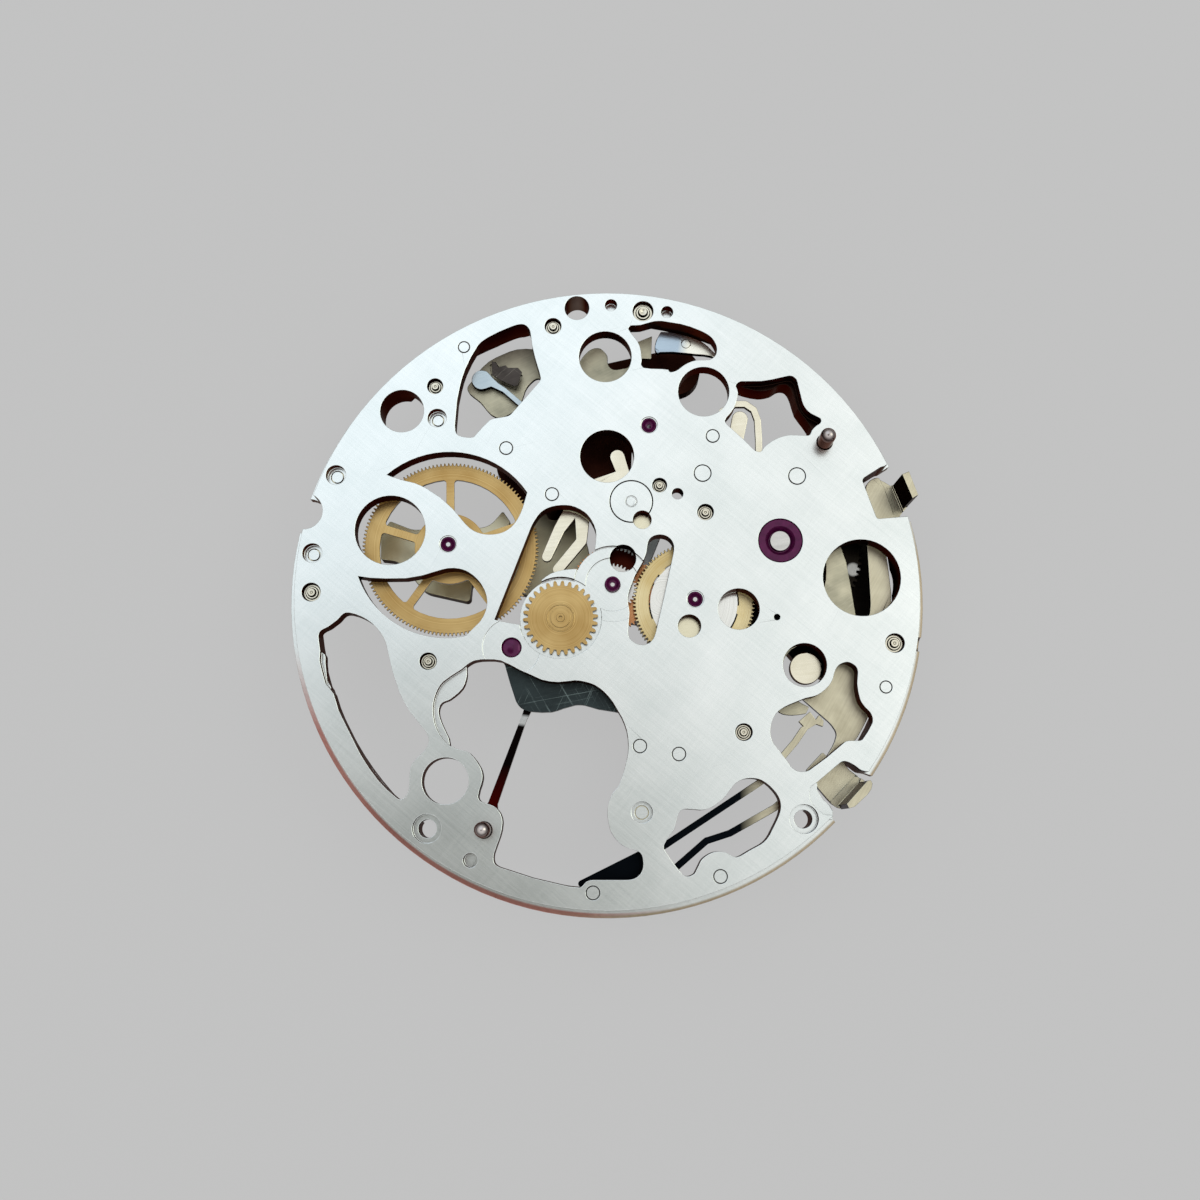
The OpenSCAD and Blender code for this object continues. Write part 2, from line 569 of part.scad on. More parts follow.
module barrel_jewel() {
    color("purple") seated() at(barrel_at) difference() {
        rod(barrel_jewel_r, -0.04, web_z);
        rod(arbor_r + pivot_gap, over, web_z - over);
        rod(barrel_jewel_r * 0.7, over, -0.3);
    }
}

module end_jewel() {
    color("purple") seated() at(end_jewel_at) rod(end_jewel_r, -0.1, web_z);
}

// Steel posts with domed heads that carry the dial ring, pressed into tapered holes
module dial_posts() {
    color("silver") seated() for (p = posts) at(p) {
        rod(post_r, post_h - post_r, post_collar);
        taper(post_r, post_foot_r, post_collar, web_z);
        translate([0, 0, post_h - post_r]) intersection() {
            sphere(post_r);
            cylinder(r = post_r + over, h = post_r + over);
        }
    }
}

// A pin whose edge is turned down a little at its head
module steady_pin(p, top) {
    at(p) {
        rod(p.z - pin_groove, top, top - pin_groove_d);
        rod(p.z, top - pin_groove_d, in_rim(p) ? -rim_t : web_z);
    }
}

module steady_pins() {
    color("silver") seated() {
        for (p = pins)
            steady_pin(p, 0);
        for (p = sunk_pins)
            steady_pin(p, -sunk_d);
        for (p = deep_pins)
            steady_pin(p, -deep_d);
    }
}

// Tapped tubes, each with the end of a screw standing in it
module screw_tubes() {
    color("tan") seated() for (p = tubes) at(p) {
        tube(p.z, p.z * tube_bore, -tube_sink_d, -tube_t);
        difference() {
            rod(p.z * tube_bore - screw_end_gap, -0.06, -tube_t + 0.05);
            tube(p.z * 0.42, p.z * 0.28, over, -0.12);
            rod(p.z * 0.1, over, -0.12);
        }
    }
}

// Round stud that turns a banking pin to its place
module eccentric_stud() {
    color("gainsboro") seated() at(stud_at) difference() {
        rod(stud_r - pin_groove, 0, web_z);
        tube(0.28, 0.23, over, -0.06);
        at(deep_pins[1] - stud_at) rod(deep_pins[1].z + plug_gap, over, web_z - over);
    }
}

// Hidden seats of the bridges: [x, y] of each pillar
train_pillars = grow * [[1.66, 5.41], [-0.2, -3.35], [7.65, -1.12]];
barrel_pillars = grow * [[3.79, 8.17], [12.95, -1.35], [10.3, 8]];
counter_pillars = grow * [[-5.8, 6.05], [-3.29, 4.18]];
cock_pillars = grow * [[3.2, -10.2], [2.85, -9]];
small_pillars = grow * [[0.9, -3.6], [2.6, -6.1], [6, -4.55]];
small_pillar_r = 0.28;
screw_r = 0.24;
screw_head_r = 0.42;
screw_head_t = 0.3;
screw_gap = 0.02;

module pillars(places, r, top, bottom) {
    for (p = places) at(p) rod(r, top, bottom);
}

// Bores and sunk heads of the screws, cut from the back of a bridge
module screw_seats(places) {
    for (p = places) at(p) {
        rod(screw_r + screw_gap, web_z - 0.1, back_z - over);
        rod(screw_head_r + screw_gap, back_z + screw_head_t, back_z - over);
    }
}

module pivot_holes(centres, top, bottom, r) {
    for (c = centres) at(c) rod(r + pivot_gap, top + over, bottom - over);
}

module train_bridge() {
    color("lightsteelblue") seated() difference() {
        union() {
            slab(bridge_z, bridge_t) {
                chain([stop(train_pillars[0], 0.8), stop(centre_at, 1.1),
                    stop(train_pillars[1], 0.8), stop(minute_at, 0.6), stop(centre_at, 1.1),
                    stop(second_at, 1), stop(train_pillars[2], 0.7)]);
                chain([stop(second_at, 1), stop(third_at, 0.55)]);
            }
            pillars(train_pillars, pillar_r, web_z, bridge_z - 0.1);
        }
        screw_seats(train_pillars);
        pivot_holes([centre_at, second_at, minute_at], bridge_z, back_z, pivot_r);
        pivot_holes([third_at], bridge_z, back_z, fine_pivot_r);
    }
}

// Outline of the barrel bridge
barrel_bridge_outline = [[3, 8.8, 0.7], [10.8, 8.8, 0.9], [13.9, 5.9, 0.9], [14.3, -2.2, 0.8],
    [12.3, -2.2, 0.6], [10, -1.8, 0.8], [6.2, 1.6, 1.2], [3, 6.6, 1.2]];
click_at = grow * [5.45, 6.6];
click_tip = grow * [6.9, 6.85];

module barrel_bridge() {
    color("lightsteelblue") seated() difference() {
        union() {
            slab(bridge_z, bridge_t) intersection() {
                polygon(rounded(barrel_bridge_outline));
                circle(face_r - 0.6, $fn = 144);
            }
            pillars(barrel_pillars, pillar_r, web_z, bridge_z - 0.1);
        }
        screw_seats(barrel_pillars);
        at(barrel_at) {
            rod(arbor_r + pivot_gap, 0, back_z - over);
            rod(ratchet_n * winding_m / 2 + winding_m + 0.06, back_z + winding_d, back_z - over);
        }
        at(crown_at) {
            rod(crown_n * winding_m / 2 + winding_m + 0.04, back_z + winding_d, back_z - over);
            rod(screw_r + screw_gap, bridge_z + over, back_z - over);
        }
        slab(back_z + winding_d, winding_d + over)
            chain([stop(click_at, 0.62), stop(click_tip + [0, 0.15], 0.4)]);
        at(click_at) rod(screw_r + screw_gap, bridge_z + over, back_z - over);
    }
}

counter_pad = [[-11.62, 1.78, 0.1], [-11.38, 0.46, 0.1], [-10.44, 0.5, 1], [-8.95, -0.82, 1],
    [-6.65, -0.97, 0.2], [-6.72, -0.15, 0.3], [-5.36, 3.33, 0.1], [-5.83, 3.82, 0.1],
    [-6.38, 2.89, 1], [-10.11, 2.18, 1], [-11.27, 2.44, 0.1]];

module counter_bridge() {
    color("lightsteelblue") seated() difference() {
        union() {
            slab(bridge_z, bridge_t) {
                chain([stop(counter_pillars[0], 0.7), stop(counter_pillars[1], 1.1),
                    grow * [-2.7, 2, 1.5], grow * [-3.7, 0.8, 1]]);
                chain([stop(counter_pillars[1], 1.1), grow * [-1.2, 6.3, 1.4],
                    grow * [-1.6, 10.9, 1.3], grow * [1.6, 12.3, 1.2]]);
                chain([grow * [-3.7, 0.8, 1], stop(counter_at, 0.55)]);
                polygon(rounded(counter_pad));
            }
            pillars(counter_pillars, pillar_r, web_z, bridge_z - 0.1);
        }
        screw_seats(counter_pillars);
        pivot_holes([counter_at], bridge_z, back_z, pivot_r);
    }
}

module balance_cock() {
    color("lightsteelblue") seated() difference() {
        union() {
            slab(bridge_z, bridge_t)
                chain([stop(cock_pillars[0], 0.8), stop(cock_pillars[1], 0.85),
                    stop(balance_at, 0.9)]);
            pillars(cock_pillars, pillar_r, web_z, bridge_z - 0.1);
        }
        screw_seats(cock_pillars);
        pivot_holes([balance_at], bridge_z, back_z, fine_pivot_r);
    }
}

// Thin bridge over the fourth wheel, the escape wheel and the pallet fork
module escapement_bridge() {
    color("tan") seated() difference() {
        union() {
            slab(cock_z, cock_t) {
                chain([stop(small_pillars[0], 0.36), stop(escape_at, 0.36),
                    stop(pallet_at, 0.34), stop(small_pillars[1], 0.36)]);
                chain([stop(escape_at, 0.36), stop(fourth_at, 0.36), stop(small_pillars[2], 0.36)]);
            }
            pillars(small_pillars, small_pillar_r, web_z, cock_z - 0.1);
        }
        pivot_holes([fourth_at, escape_at, pallet_at], cock_z, cock_z - cock_t, fine_pivot_r);
    }
}

// A slotted screw that points to the dial side
module screw(r, head_r, head_t, top, bottom) {
    difference() {
        union() {
            rod(r, top, bottom);
            rod(head_r, bottom + head_t, bottom);
        }
        translate([-head_r - over, -0.07, bottom - over])
            cube([2 * (head_r + over), 0.14, over + 0.12]);
    }
}

module bridge_screws() {
    color("steelblue") seated()
        for (p = concat(train_pillars, barrel_pillars, counter_pillars, cock_pillars))
            at(p) screw(screw_r, screw_head_r, screw_head_t - 0.04, web_z - 0.1, back_z + 0.04);
}

// Beige steel cover seen in the upper left window, the round hole beside it and the top window
corner_cover_outline = [[-8.32, 9.05], [-8.14, 9.6], [-7.96, 10.02], [-7.53, 10.63],
    [-6.93, 11.09], [-6.27, 11.46], [-5.4, 11.6], [-4.2, 11.5], [-3.3, 11.2], [-2.96, 11.69],
    [-2.69, 12.02], [-2.3, 12.15], [-1.98, 11.97], [-1.82, 11.77], [-1.78, 11.5],
    [-1.65, 11.28], [-1.4, 11.18], [-1.03, 11.28], [-0.72, 11.45], [-0.58, 11.95],
    [-0.66, 12.65, 0], [0.17, 13.16, 0], [0.3, 12.01, 0], [-0.28, 11.93, 0], [-0.3, 11.2],
    [-0.45, 10.4], [-1.2, 9.5], [-2.6, 8.9], [-3.6, 8.7], [-4.3, 8.9], [-4.6, 9.6],
    [-4.75, 10], [-5.01, 10.15], [-5.35, 9.82], [-5.52, 9.43], [-5.6, 8.9], [-5.9, 8.3],
    [-6.7, 7.89], [-7.6, 8.53]];
corner_cover_t = 0.24;
corner_cover_z = upper_z - lever_t - 0.08;
corner_cover_feet = grow * [[-4.2, 10.6], [-3.2, 9.4]];
// Shallow dark pocket in the cover
cover_pocket = [[-7.46, 10.45, 0], [-7.22, 10.67, 0], [-7, 10.43, 0], [-6.61, 10.3], [-6.45, 10.39],
    [-6.08, 10.34], [-5.78, 10.17, 0], [-5.99, 9.42, 0], [-6.43, 9.49], [-6.73, 9.62, 0],
    [-7.27, 9.91, 0]];
cover_pocket_d = 0.14;

module corner_cover() {
    color("wheat") seated() {
        difference() {
            slab(corner_cover_z, corner_cover_t) polygon(flowing(corner_cover_outline));
            slab(corner_cover_z + over, cover_pocket_d + over) polygon(flowing(cover_pocket));
        }
        pillars(corner_cover_feet, 0.3, web_z, corner_cover_z - 0.1);
    }
}

// Beige steel cover over the winding works, seen in the right windows
lever_cover_outline = [[9.95, 4.9], [10.2, 4.85], [10.62, 4.05], [10.98, 3.33], [11.15, 2.77],
    [11.3, 2.34], [11.75, 0.86], [11.85, 0.2], [11.7, -0.5], [11.2, -0.95], [10.8, -1.3],
    [10.65, -1.7], [10.55, -2.2], [10.3, -2.58], [9.9, -2.88], [9.5, -3.1], [9.4, -3.35],
    [9.6, -3.58], [10.15, -3.78, 0], [10.06, -4.1, 0], [9.46, -4.28], [8.84, -4.25],
    [8.45, -3.8], [8.3, -2.9], [8.25, -0.9], [8.7, 0.1], [9.6, 1], [10.1, 2], [10.05, 3.04],
    [9.85, 4.2]];
lever_cover_t = 0.28;
setting_clearance_r = 1.1;

module lever_cover() {
    color("wheat") seated() difference() {
        slab(web_z, lever_cover_t) polygon(flowing(lever_cover_outline));
        at(setting_at) rod(setting_clearance_r, web_z + over, web_z - 1);
    }
}

// Dark plate in the large window
dark_cover_outline = [[-4.5, -3.63], [-4.2, -4.09], [-3.83, -4.87], [-3.43, -5.64],
    [-3.1, -5.94], [-2.61, -6.02], [-1.68, -5.89], [-1.18, -5.64], [-0.66, -5.4], [-0.2, -5.34],
    [0.44, -5.42], [1.23, -5.42], [2.1, -5.4], [2.3, -4.9], [1.8, -4.2], [0.2, -4.05],
    [-2, -3.95], [-3.9, -3.4]];
dark_cover_t = 0.35;

module dark_cover() {
    color("darkslategray") seated()
        slab(web_z, dark_cover_t) polygon(flowing(dark_cover_outline));
}

// Blade springs against the underside of the web
blade_w = 0.31;
blade_t = 0.3;
upper_blade = [[8.9, -7.1], [8.28, -7.69], [4.42, -11.17], [3.36, -11.74], [0.94, -13.45]];
lower_blade = [[9.8, -7.95], [9.24, -8.63], [7.34, -10.12], [6.31, -10.64], [5.06, -12.11],
    [4.95, -12.4]];
hairpin_path = [[4.1, 9.75], [4.65, 10.22], [5.15, 10.3], [5.6, 10.08], [5.85, 9.6],
    [6.05, 8.6], [6.25, 7.2]];
detent_path = [[8.05, -6.5], [8.8, -6.55], [9.28, -6.22], [9.74, -5.49], [10.05, -4.85]];
// Forked head of the detent
detent_head = [[9.78, -4.52, 0], [10.23, -3.99, 0], [10.54, -4.32, 0], [10.66, -4.08, 0],
    [10.92, -4.32, 0], [10.92, -4.58, 0], [10.6, -4.52, 0], [10.2, -4.85, 0]];

module blade(points, foot_r) {
    slab(web_z, blade_t) {
        strip(points, blade_w);
        translate(grow * points[0]) circle(foot_r);
    }
}

// Wide end of the upper blade, seen at the foot of the large window
upper_blade_foot = [[0.93, -13.42], [1.28, -13.12], [1.71, -12.87], [2.22, -12.56],
    [2.76, -12.15], [3.45, -11.6], [3.75, -11.8], [3.7, -12.4], [3.3, -12.9], [2.5, -13.2],
    [1.6, -13.36]];

module upper_jumper_spring() {
    color("wheat") seated() {
        blade(upper_blade, 0.4);
        slab(web_z, blade_t) polygon(flowing(upper_blade_foot));
    }
}

module lower_jumper_spring() {
    color("wheat") seated() blade(lower_blade, 0.4);
}

module hairpin_spring() {
    color("ivory") seated() blade([for (i = [6:-1:0]) hairpin_path[i]], 0.38);
}

module detent_spring() {
    color("silver") seated() {
        blade(detent_path, 0.4);
        slab(web_z, blade_t) polygon(flowing(detent_head));
    }
}

// Top of the pivots that run in hidden holes of the plate
pivot_top = -0.45;

// Round bar with pivots at both ends
module arbor(r, pivot, top, bottom, shoulder) {
    rod(pivot, top, bottom);
    rod(r, web_z - 0.05, shoulder);
}

// Spoked brass wheel with a hole for its arbor
module wheel(n, m, turn, top, inner_share, hub_r, spokes, spoke_w, bore, fillet = 0) {
    slab(top, wheel_t) difference() {
        gear(n, m, turn);
        offset(r = fillet) offset(delta = -fillet)
            spoke_gaps(spokes, hub_r, n * m / 2 * inner_share, spoke_w, turn);
        circle(bore);
    }
}

drum_r = barrel_n * barrel_m / 2 - 1.3 * barrel_m;
drum_floor_t = 0.2;
cover_t = 0.15;
hub_r = 0.8;
shaft_r = 0.24;

module barrel_drum() {
    color("gold") seated() at(barrel_at) difference() {
        union() {
            slab(drum_z, 0.4) gear(barrel_n, barrel_m, barrel_turn);
            rod(drum_r, drum_z, drum_z - drum_t);
        }
        rod(drum_r - drum_w, drum_z - drum_floor_t, drum_z - drum_t - over);
        rod(arbor_r + pivot_gap, drum_z + over, drum_z - drum_t);
    }
}

module barrel_cover() {
    color("gold") seated() at(barrel_at)
        tube(drum_r - drum_w, arbor_r + pivot_gap, drum_z - drum_t + cover_t, drum_z - drum_t);
}

// Flat spiral from radius r0 to r1
function spiral(r0, r1, turns, w, side) =
    let (n = round(turns * 20))
    [for (k = [0:n]) let (i = side > 0 ? k : n - k)
        polar(r0 + (r1 - r0) * i / n + side * w / 2, 360 * turns * i / n)];

module mainspring() {
    t = 0.1;
    color("lightslategray") seated() at(barrel_at)
        slab(drum_z - drum_floor_t - 0.04, drum_t - drum_floor_t - cover_t - 0.08)
            polygon(concat(spiral(hub_r + 0.12, drum_r - drum_w - t / 2, mainspring_turns, t, 1),
                spiral(hub_r + 0.12, drum_r - drum_w - t / 2, mainspring_turns, t, -1)));
}

module barrel_arbor() {
    color("silver") seated() at(barrel_at) {
        rod(arbor_r, -0.12, back_z + winding_d);
        rod(hub_r, drum_z - drum_floor_t - seat_gap, drum_z - drum_t + cover_t + seat_gap);
        difference() {
            rod(shaft_r, back_z + winding_d, winding_z - winding_t);
            rod(0.1, back_z + winding_d, back_z - over);
        }
    }
}

module ratchet_wheel() {
    color("silver") seated() at(barrel_at) slab(winding_z, winding_t) difference() {
        gear(ratchet_n, winding_m, ratchet_turn);
        circle(shaft_r);
    }
}

module ratchet_screw() {
    color("steelblue") seated() at(barrel_at) difference() {
        union() {
            rod(0.1, back_z + winding_d, back_z);
            rod(0.5, winding_z - winding_t, back_z);
        }
        translate([-1, -0.07, back_z - over]) cube([2, 0.14, over + 0.03]);
    }
}

module crown_wheel() {
    color("silver") seated() at(crown_at) slab(winding_z, winding_t) difference() {
        gear(crown_n, winding_m, crown_turn);
        circle(screw_r + pivot_gap);
    }
}

module crown_wheel_screw() {
    color("steelblue") seated() at(crown_at) {
        rod(screw_r, bridge_z - 0.05, winding_z - winding_t);
        rod(0.6, winding_z - winding_t - 0.01, back_z + 0.005);
    }
}

module click() {
    color("silver") seated() {
        slab(winding_z, winding_t)
            chain([stop(click_at, 0.4), stop(click_tip, 0.1)]);
        at(click_at) rod(screw_r, bridge_z - click_gap, winding_z - seat_gap);
    }
}

module second_wheel() {
    color("gold") seated() at(second_at) {
        wheel(second_n, second_m, second_turn, upper_z, 0.755, 0.7, 5, 0.4, second_hub_r);
        wheel(second_n, third_pinion_m, second_turn, middle_z, 0.8, 0.7, 5, 0.4, second_hub_r);
    }
}

second_hub_r = 0.3;
second_pinion_t = 0.55;

module second_arbor() {
    color("silver") seated() at(second_at) {
        arbor(second_hub_r, pivot_r, -0.12, back_z + 0.1, bridge_z + 0.05);
        slab(drum_z + 0.04, second_pinion_t) gear(second_pinion_n, barrel_m, second_pinion_turn);
    }
}

// Thin brushed disc on the second wheel
disc_r = 2.07 * grow;

module friction_disc() {
    color("white") seated() at(second_at)
        tube(disc_r, second_hub_r, upper_z + 0.05, upper_z);
}

centre_hub_r = 0.4;

module centre_wheel() {
    color("orange") seated() at(centre_at)
        slab(centre_wheel_z, wheel_t) difference() {
            gear(round(2 * centre_wheel_r / 0.06) - 2, 0.06 * grow, 0);
            circle(centre_hub_r);
        }
}

module centre_arbor() {
    color("silver") seated() at(centre_at) {
        rod(pivot_r, -0.3, back_z + 0.1);
        rod(centre_hub_r, upper_z + 0.05, bridge_z + 0.05);
        slab(upper_z + 0.04, upper_z + 0.04 - centre_wheel_z)
            gear(centre_n, second_m, centre_turn);
        slab(centre_wheel_z - wheel_t, 0.4) gear(centre_n, second_m, centre_turn);
    }
}

third_hub_r = 0.18;
fourth_hub_r = 0.13;

module third_wheel() {
    color("gold") seated() at(third_at)
        wheel(third_n, third_m, third_turn, third_z, 0.82, 0.45, 4, 0.28, third_hub_r);
}

module third_arbor() {
    color("silver") seated() at(third_at) {
        arbor(third_hub_r, fine_pivot_r, pivot_top, back_z + 0.1, bridge_z + 0.05);
        slab(middle_z + 0.06, wheel_t + 0.14)
            gear(third_pinion_n, third_pinion_m, third_pinion_turn);
    }
}

module fourth_wheel() {
    color("gold") seated() at(fourth_at)
        wheel(fourth_n, fourth_m, fourth_turn, fourth_z, 0.82, 0.4, 4, 0.25, fourth_hub_r);
}

module fourth_arbor() {
    color("silver") seated() at(fourth_at) {
        arbor(fourth_hub_r, fine_pivot_r, pivot_top, cock_z - cock_t + seat_gap, cock_z + pivot_proud);
        slab(third_z + 0.06, wheel_t + 0.12)
            gear(fourth_pinion_n, third_m, fourth_pinion_turn);
    }
}

escape_tip_r = 1.2 * grow;
escape_root_r = 0.93 * grow;
escape_hub_r = 0.1;

// Ratchet-like teeth whose tips point along the turn
module escape_wheel() {
    pitch = 360 / escape_n;
    color("gold") seated() at(escape_at) slab(escape_z, escape_t) difference() {
        polygon([for (i = [0:escape_n - 1])
            for (k = [[escape_root_r, -12], [escape_root_r, -5], [escape_tip_r, -1.4],
                [escape_tip_r, 1.4]])
                polar(k[0], escape_turn + i * pitch + k[1])]);
        spoke_gaps(4, 0.34, 0.76, 0.16, 0);
        circle(escape_hub_r);
    }
}

module escape_arbor() {
    color("silver") seated() at(escape_at) {
        arbor(escape_hub_r, fine_pivot_r, pivot_top, cock_z - cock_t + seat_gap, cock_z + pivot_proud);
        slab(fourth_z + 0.06, wheel_t + 0.1)
            gear(escape_pinion_n, fourth_m, escape_pinion_turn);
    }
}

roller_orbit_r = 0.42;
roller_pin_r = 0.06;
stone_w = 0.13;
stone_angle = 30;

// Places children in the escapement's frame, +X from the escape wheel to the balance
module on_escapement() {
    at(escape_at) rotate(bearing(escape_at, balance_at)) children();
}

module pallet_fork() {
    roller_x = norm(balance_at - escape_at) - roller_orbit_r;
    color("silver") seated() on_escapement() {
        slab(escape_z, escape_t) difference() {
            union() {
                for (side = [-1, 1]) {
                    tip = polar(escape_tip_r + 0.22, side * stone_angle);
                    chain([[pallet_reach, 0, 0.17], [tip.x, tip.y, 0.13]]);
                }
                chain([[pallet_reach, 0, 0.17], [roller_x - 0.1, 0, 0.15]]);
                translate([roller_x - 0.1, -0.16]) square([0.22, 0.32]);
            }
            translate([roller_x - 0.06, -roller_pin_r - 0.02])
                square([0.4, 2 * (roller_pin_r + 0.02)]);
            for (side = [-1, 1]) rotate(side * stone_angle)
                translate([escape_tip_r - 0.08, -stone_w / 2]) square([0.34, stone_w]);
        }
        translate([pallet_reach, 0, 0]) {
            arbor(0.12, fine_pivot_r, pivot_top, cock_z - cock_t + seat_gap, cock_z + pivot_proud);
        }
    }
}

module pallet_stones() {
    color("purple") seated() on_escapement()
        for (side = [-1, 1]) rotate(side * stone_angle)
            slab(escape_z, escape_t)
                translate([escape_tip_r - 0.08, -stone_w / 2]) square([0.34, stone_w]);
}

staff_r = 0.17;

module balance_wheel() {
    color("gold") seated() at(balance_at) slab(balance_z, balance_t) difference() {
        circle(balance_rim_r, $fn = 96);
        spoke_gaps(3, 0.4, balance_rim_r - balance_w, 0.3, 20);
        circle(staff_r);
    }
}

module balance_staff() {
    color("silver") seated() at(balance_at) {
        arbor(staff_r, fine_pivot_r, pivot_top, back_z + 0.1, bridge_z + 0.04);
        rod(0.34, spring_z + 0.05, spring_z - spring_t);
        rod(roller_orbit_r + 0.1, escape_z - escape_t - 0.03, escape_z - escape_t - 0.13);
        translate(polar(roller_orbit_r, bearing(balance_at, escape_at)))
            rod(roller_pin_r, escape_z, escape_z - escape_t - 0.1);
    }
}

hairspring_w = 0.04;
hairspring_r = 1.7 * grow;

module hairspring() {
    color("steelblue") seated() at(balance_at) slab(spring_z, spring_t)
        polygon(concat(spiral(0.42, hairspring_r, hairspring_turns, hairspring_w, 1),
            spiral(0.42, hairspring_r, hairspring_turns, hairspring_w, -1)));
}

module hairspring_stud() {
    color("silver") seated()
        at(balance_at + polar(hairspring_r + hairspring_w / 2 + 0.13, 360 * hairspring_turns))
            rod(0.12, spring_z + 0.02, bridge_z - 0.05);
}

minute_wheel_z = -0.06;
minute_boss_r = 0.66;
minute_step_r = 0.47;
minute_pipe_r = 0.2;

// Small wheel that runs in a recess of the dial face
module minute_wheel() {
    color("gold") seated() at(minute_at) difference() {
        union() {
            slab(minute_wheel_z, recess_d - 0.1) gear(minute_n, minute_module, 0, round_tooth);
            rod(minute_boss_r, minute_wheel_z + 0.03, minute_wheel_z - 0.1);
            rod(minute_step_r, minute_wheel_z + 0.06, minute_wheel_z - 0.1);
        }
        tube(minute_boss_r - 0.06, minute_step_r, over, minute_wheel_z - 0.03);
        rod(minute_pipe_r, over, -web_t);
    }
}

module minute_arbor() {
    color("gold") seated() at(minute_at) {
        difference() {
            rod(minute_pipe_r, 0.03, -recess_d + 0.03);
            rod(0.09, over, -0.12);
        }
        rod(pivot_r, -0.2, back_z + 0.1);
        rod(0.3, web_z - 0.05, bridge_z + 0.05);
        slab(middle_z, wheel_t)
            gear(minute_drive_n, minute_drive_m, minute_drive_turn);
    }
}

counter_hub_r = 0.35;

module counter_wheel() {
    color("gold") seated() at(counter_at)
        wheel(counter_n, counter_module, 28, upper_z, 0.815, 1.7, 5, 0.38, counter_hub_r, 0.15);
}

module counter_arbor() {
    color("silver") seated() at(counter_at)
        arbor(counter_hub_r, pivot_r, -0.12, back_z + 0.1, bridge_z + 0.05);
}

// Steel levers that turn on studs under the web
start_pivot = grow * [12.92, 0.82];
reset_pivot = grow * [12.75, -2.95];
coupling_pivot = grow * [4.15, 12.1];
counter_lever_pivot = grow * [-4.4, 7.4];
release_pivot = grow * [4.55, 7.05];
column_pivot = grow * [-1.9, 4.75];
brake_pivot = posts[1];
brake_z = web_z - dark_cover_t - 0.08;
brake_t = 0.26;
stud_pin_r = 0.2;
stud_head_r = 0.34;
stud_head_t = 0.14;
lever_gap = 0.03;
tab_h = 2.2;
tab_neck_t = 0.14;
lever_pivots = [start_pivot, reset_pivot, coupling_pivot, counter_lever_pivot, release_pivot,
    column_pivot];

// Shouldered stud from the web down past a lever's underside
module lever_stud(p, bottom) {
    at(p) {
        rod(stud_pin_r, web_z, bottom - 0.04);
        rod(stud_head_r, bottom - 0.03, bottom - 0.03 - stud_head_t);
    }
}

module lever_studs() {
    color("silver") seated() {
        for (p = lever_pivots)
            lever_stud(p, upper_z - lever_t);
        lever_stud(brake_pivot, brake_z - brake_t);
    }
}

module lever_plate(pivot, hole_r) {
    slab(upper_z, lever_t) difference() {
        children();
        translate(pivot) circle(hole_r + lever_gap);
    }
}

// Lever that dips between its plate and its bent-up tab
module bent_plate(groove) {
    difference() {
        children();
        slab(upper_z + over, over + lever_t - tab_neck_t) polygon(grow * groove);
    }
}

// Bent-up tab that the pusher presses
module tab(points) {
    slab(upper_z + tab_h, tab_h + 0.02) polygon(grow * points);
}

start_outline = [[12.35, 0.35], [12.9, 0.2], [13.35, 0.45], [13.42, 1.1], [13.3, 2.2],
    [12.98, 3.5], [12.52, 5.1], [12.54, 5.66], [13.15, 5.86], [13.36, 6.2, 0], [13.58, 6.55, 0],
    [13.02, 7.6, 0], [12.68, 7.42, 0], [12, 7.68], [11.62, 7.5], [11.45, 7.1], [11.72, 5.4],
    [11.89, 4.25], [12.04, 3.46], [12.34, 1.88], [12.42, 1.1], [12.25, 0.7]];

start_groove = [[11.9, 7.9], [12.35, 7.2], [12.81, 6.3], [13.08, 5.6], [13.5, 5.9],
    [13.3, 6.35], [12.72, 7.38], [12.4, 8]];

module start_lever() {
    color("wheat") seated() {
        bent_plate(start_groove) lever_plate(start_pivot, stud_pin_r)
            polygon(flowing(start_outline));
        tab([[12.72, 7.42], [13.02, 7.6], [13.58, 6.55], [13.34, 6.35]]);
    }
}

reset_outline = [[11.15, -1.35], [11.9, -1.4], [12.3, -1.75], [12.6, -2.15], [13.05, -2.45],
    [13.15, -3], [12.9, -4], [12.6, -4.8], [12.15, -5.6], [12.1, -6], [12.45, -6.4],
    [12.9, -6.62, 0], [13.35, -6.95], [13.05, -7.5], [12.75, -7.9], [12.25, -8.2],
    [11.8, -8.05, 0], [11.6, -7.9], [10.85, -7.25], [10.45, -6.8], [10.6, -6.45],
    [11.07, -5.77, 0], [11.3, -5.9, 0], [11.51, -5.4], [11.61, -4.91], [11.51, -4.64],
    [11.18, -4.32], [10.52, -3.9], [9.84, -3.46], [9.72, -3.36, 0], [10.15, -3.1],
    [10.5, -2.9], [10.8, -2.5], [10.92, -2.1], [11, -1.6]];

reset_groove = [[12.7, -6.6], [11.75, -7.95], [11.9, -8.3], [12.14, -8.08], [12.93, -6.92],
    [13, -6.6]];

module reset_lever() {
    color("wheat") seated() {
        bent_plate(reset_groove) lever_plate(reset_pivot, stud_pin_r)
            polygon(flowing(reset_outline));
        tab([[12.93, -6.88], [13.07, -6.84], [13.17, -6.98], [13.15, -7.23], [13, -7.52],
            [12.75, -7.83], [12.52, -8.12], [12.27, -8.24], [12.14, -8.06]]);
    }
}

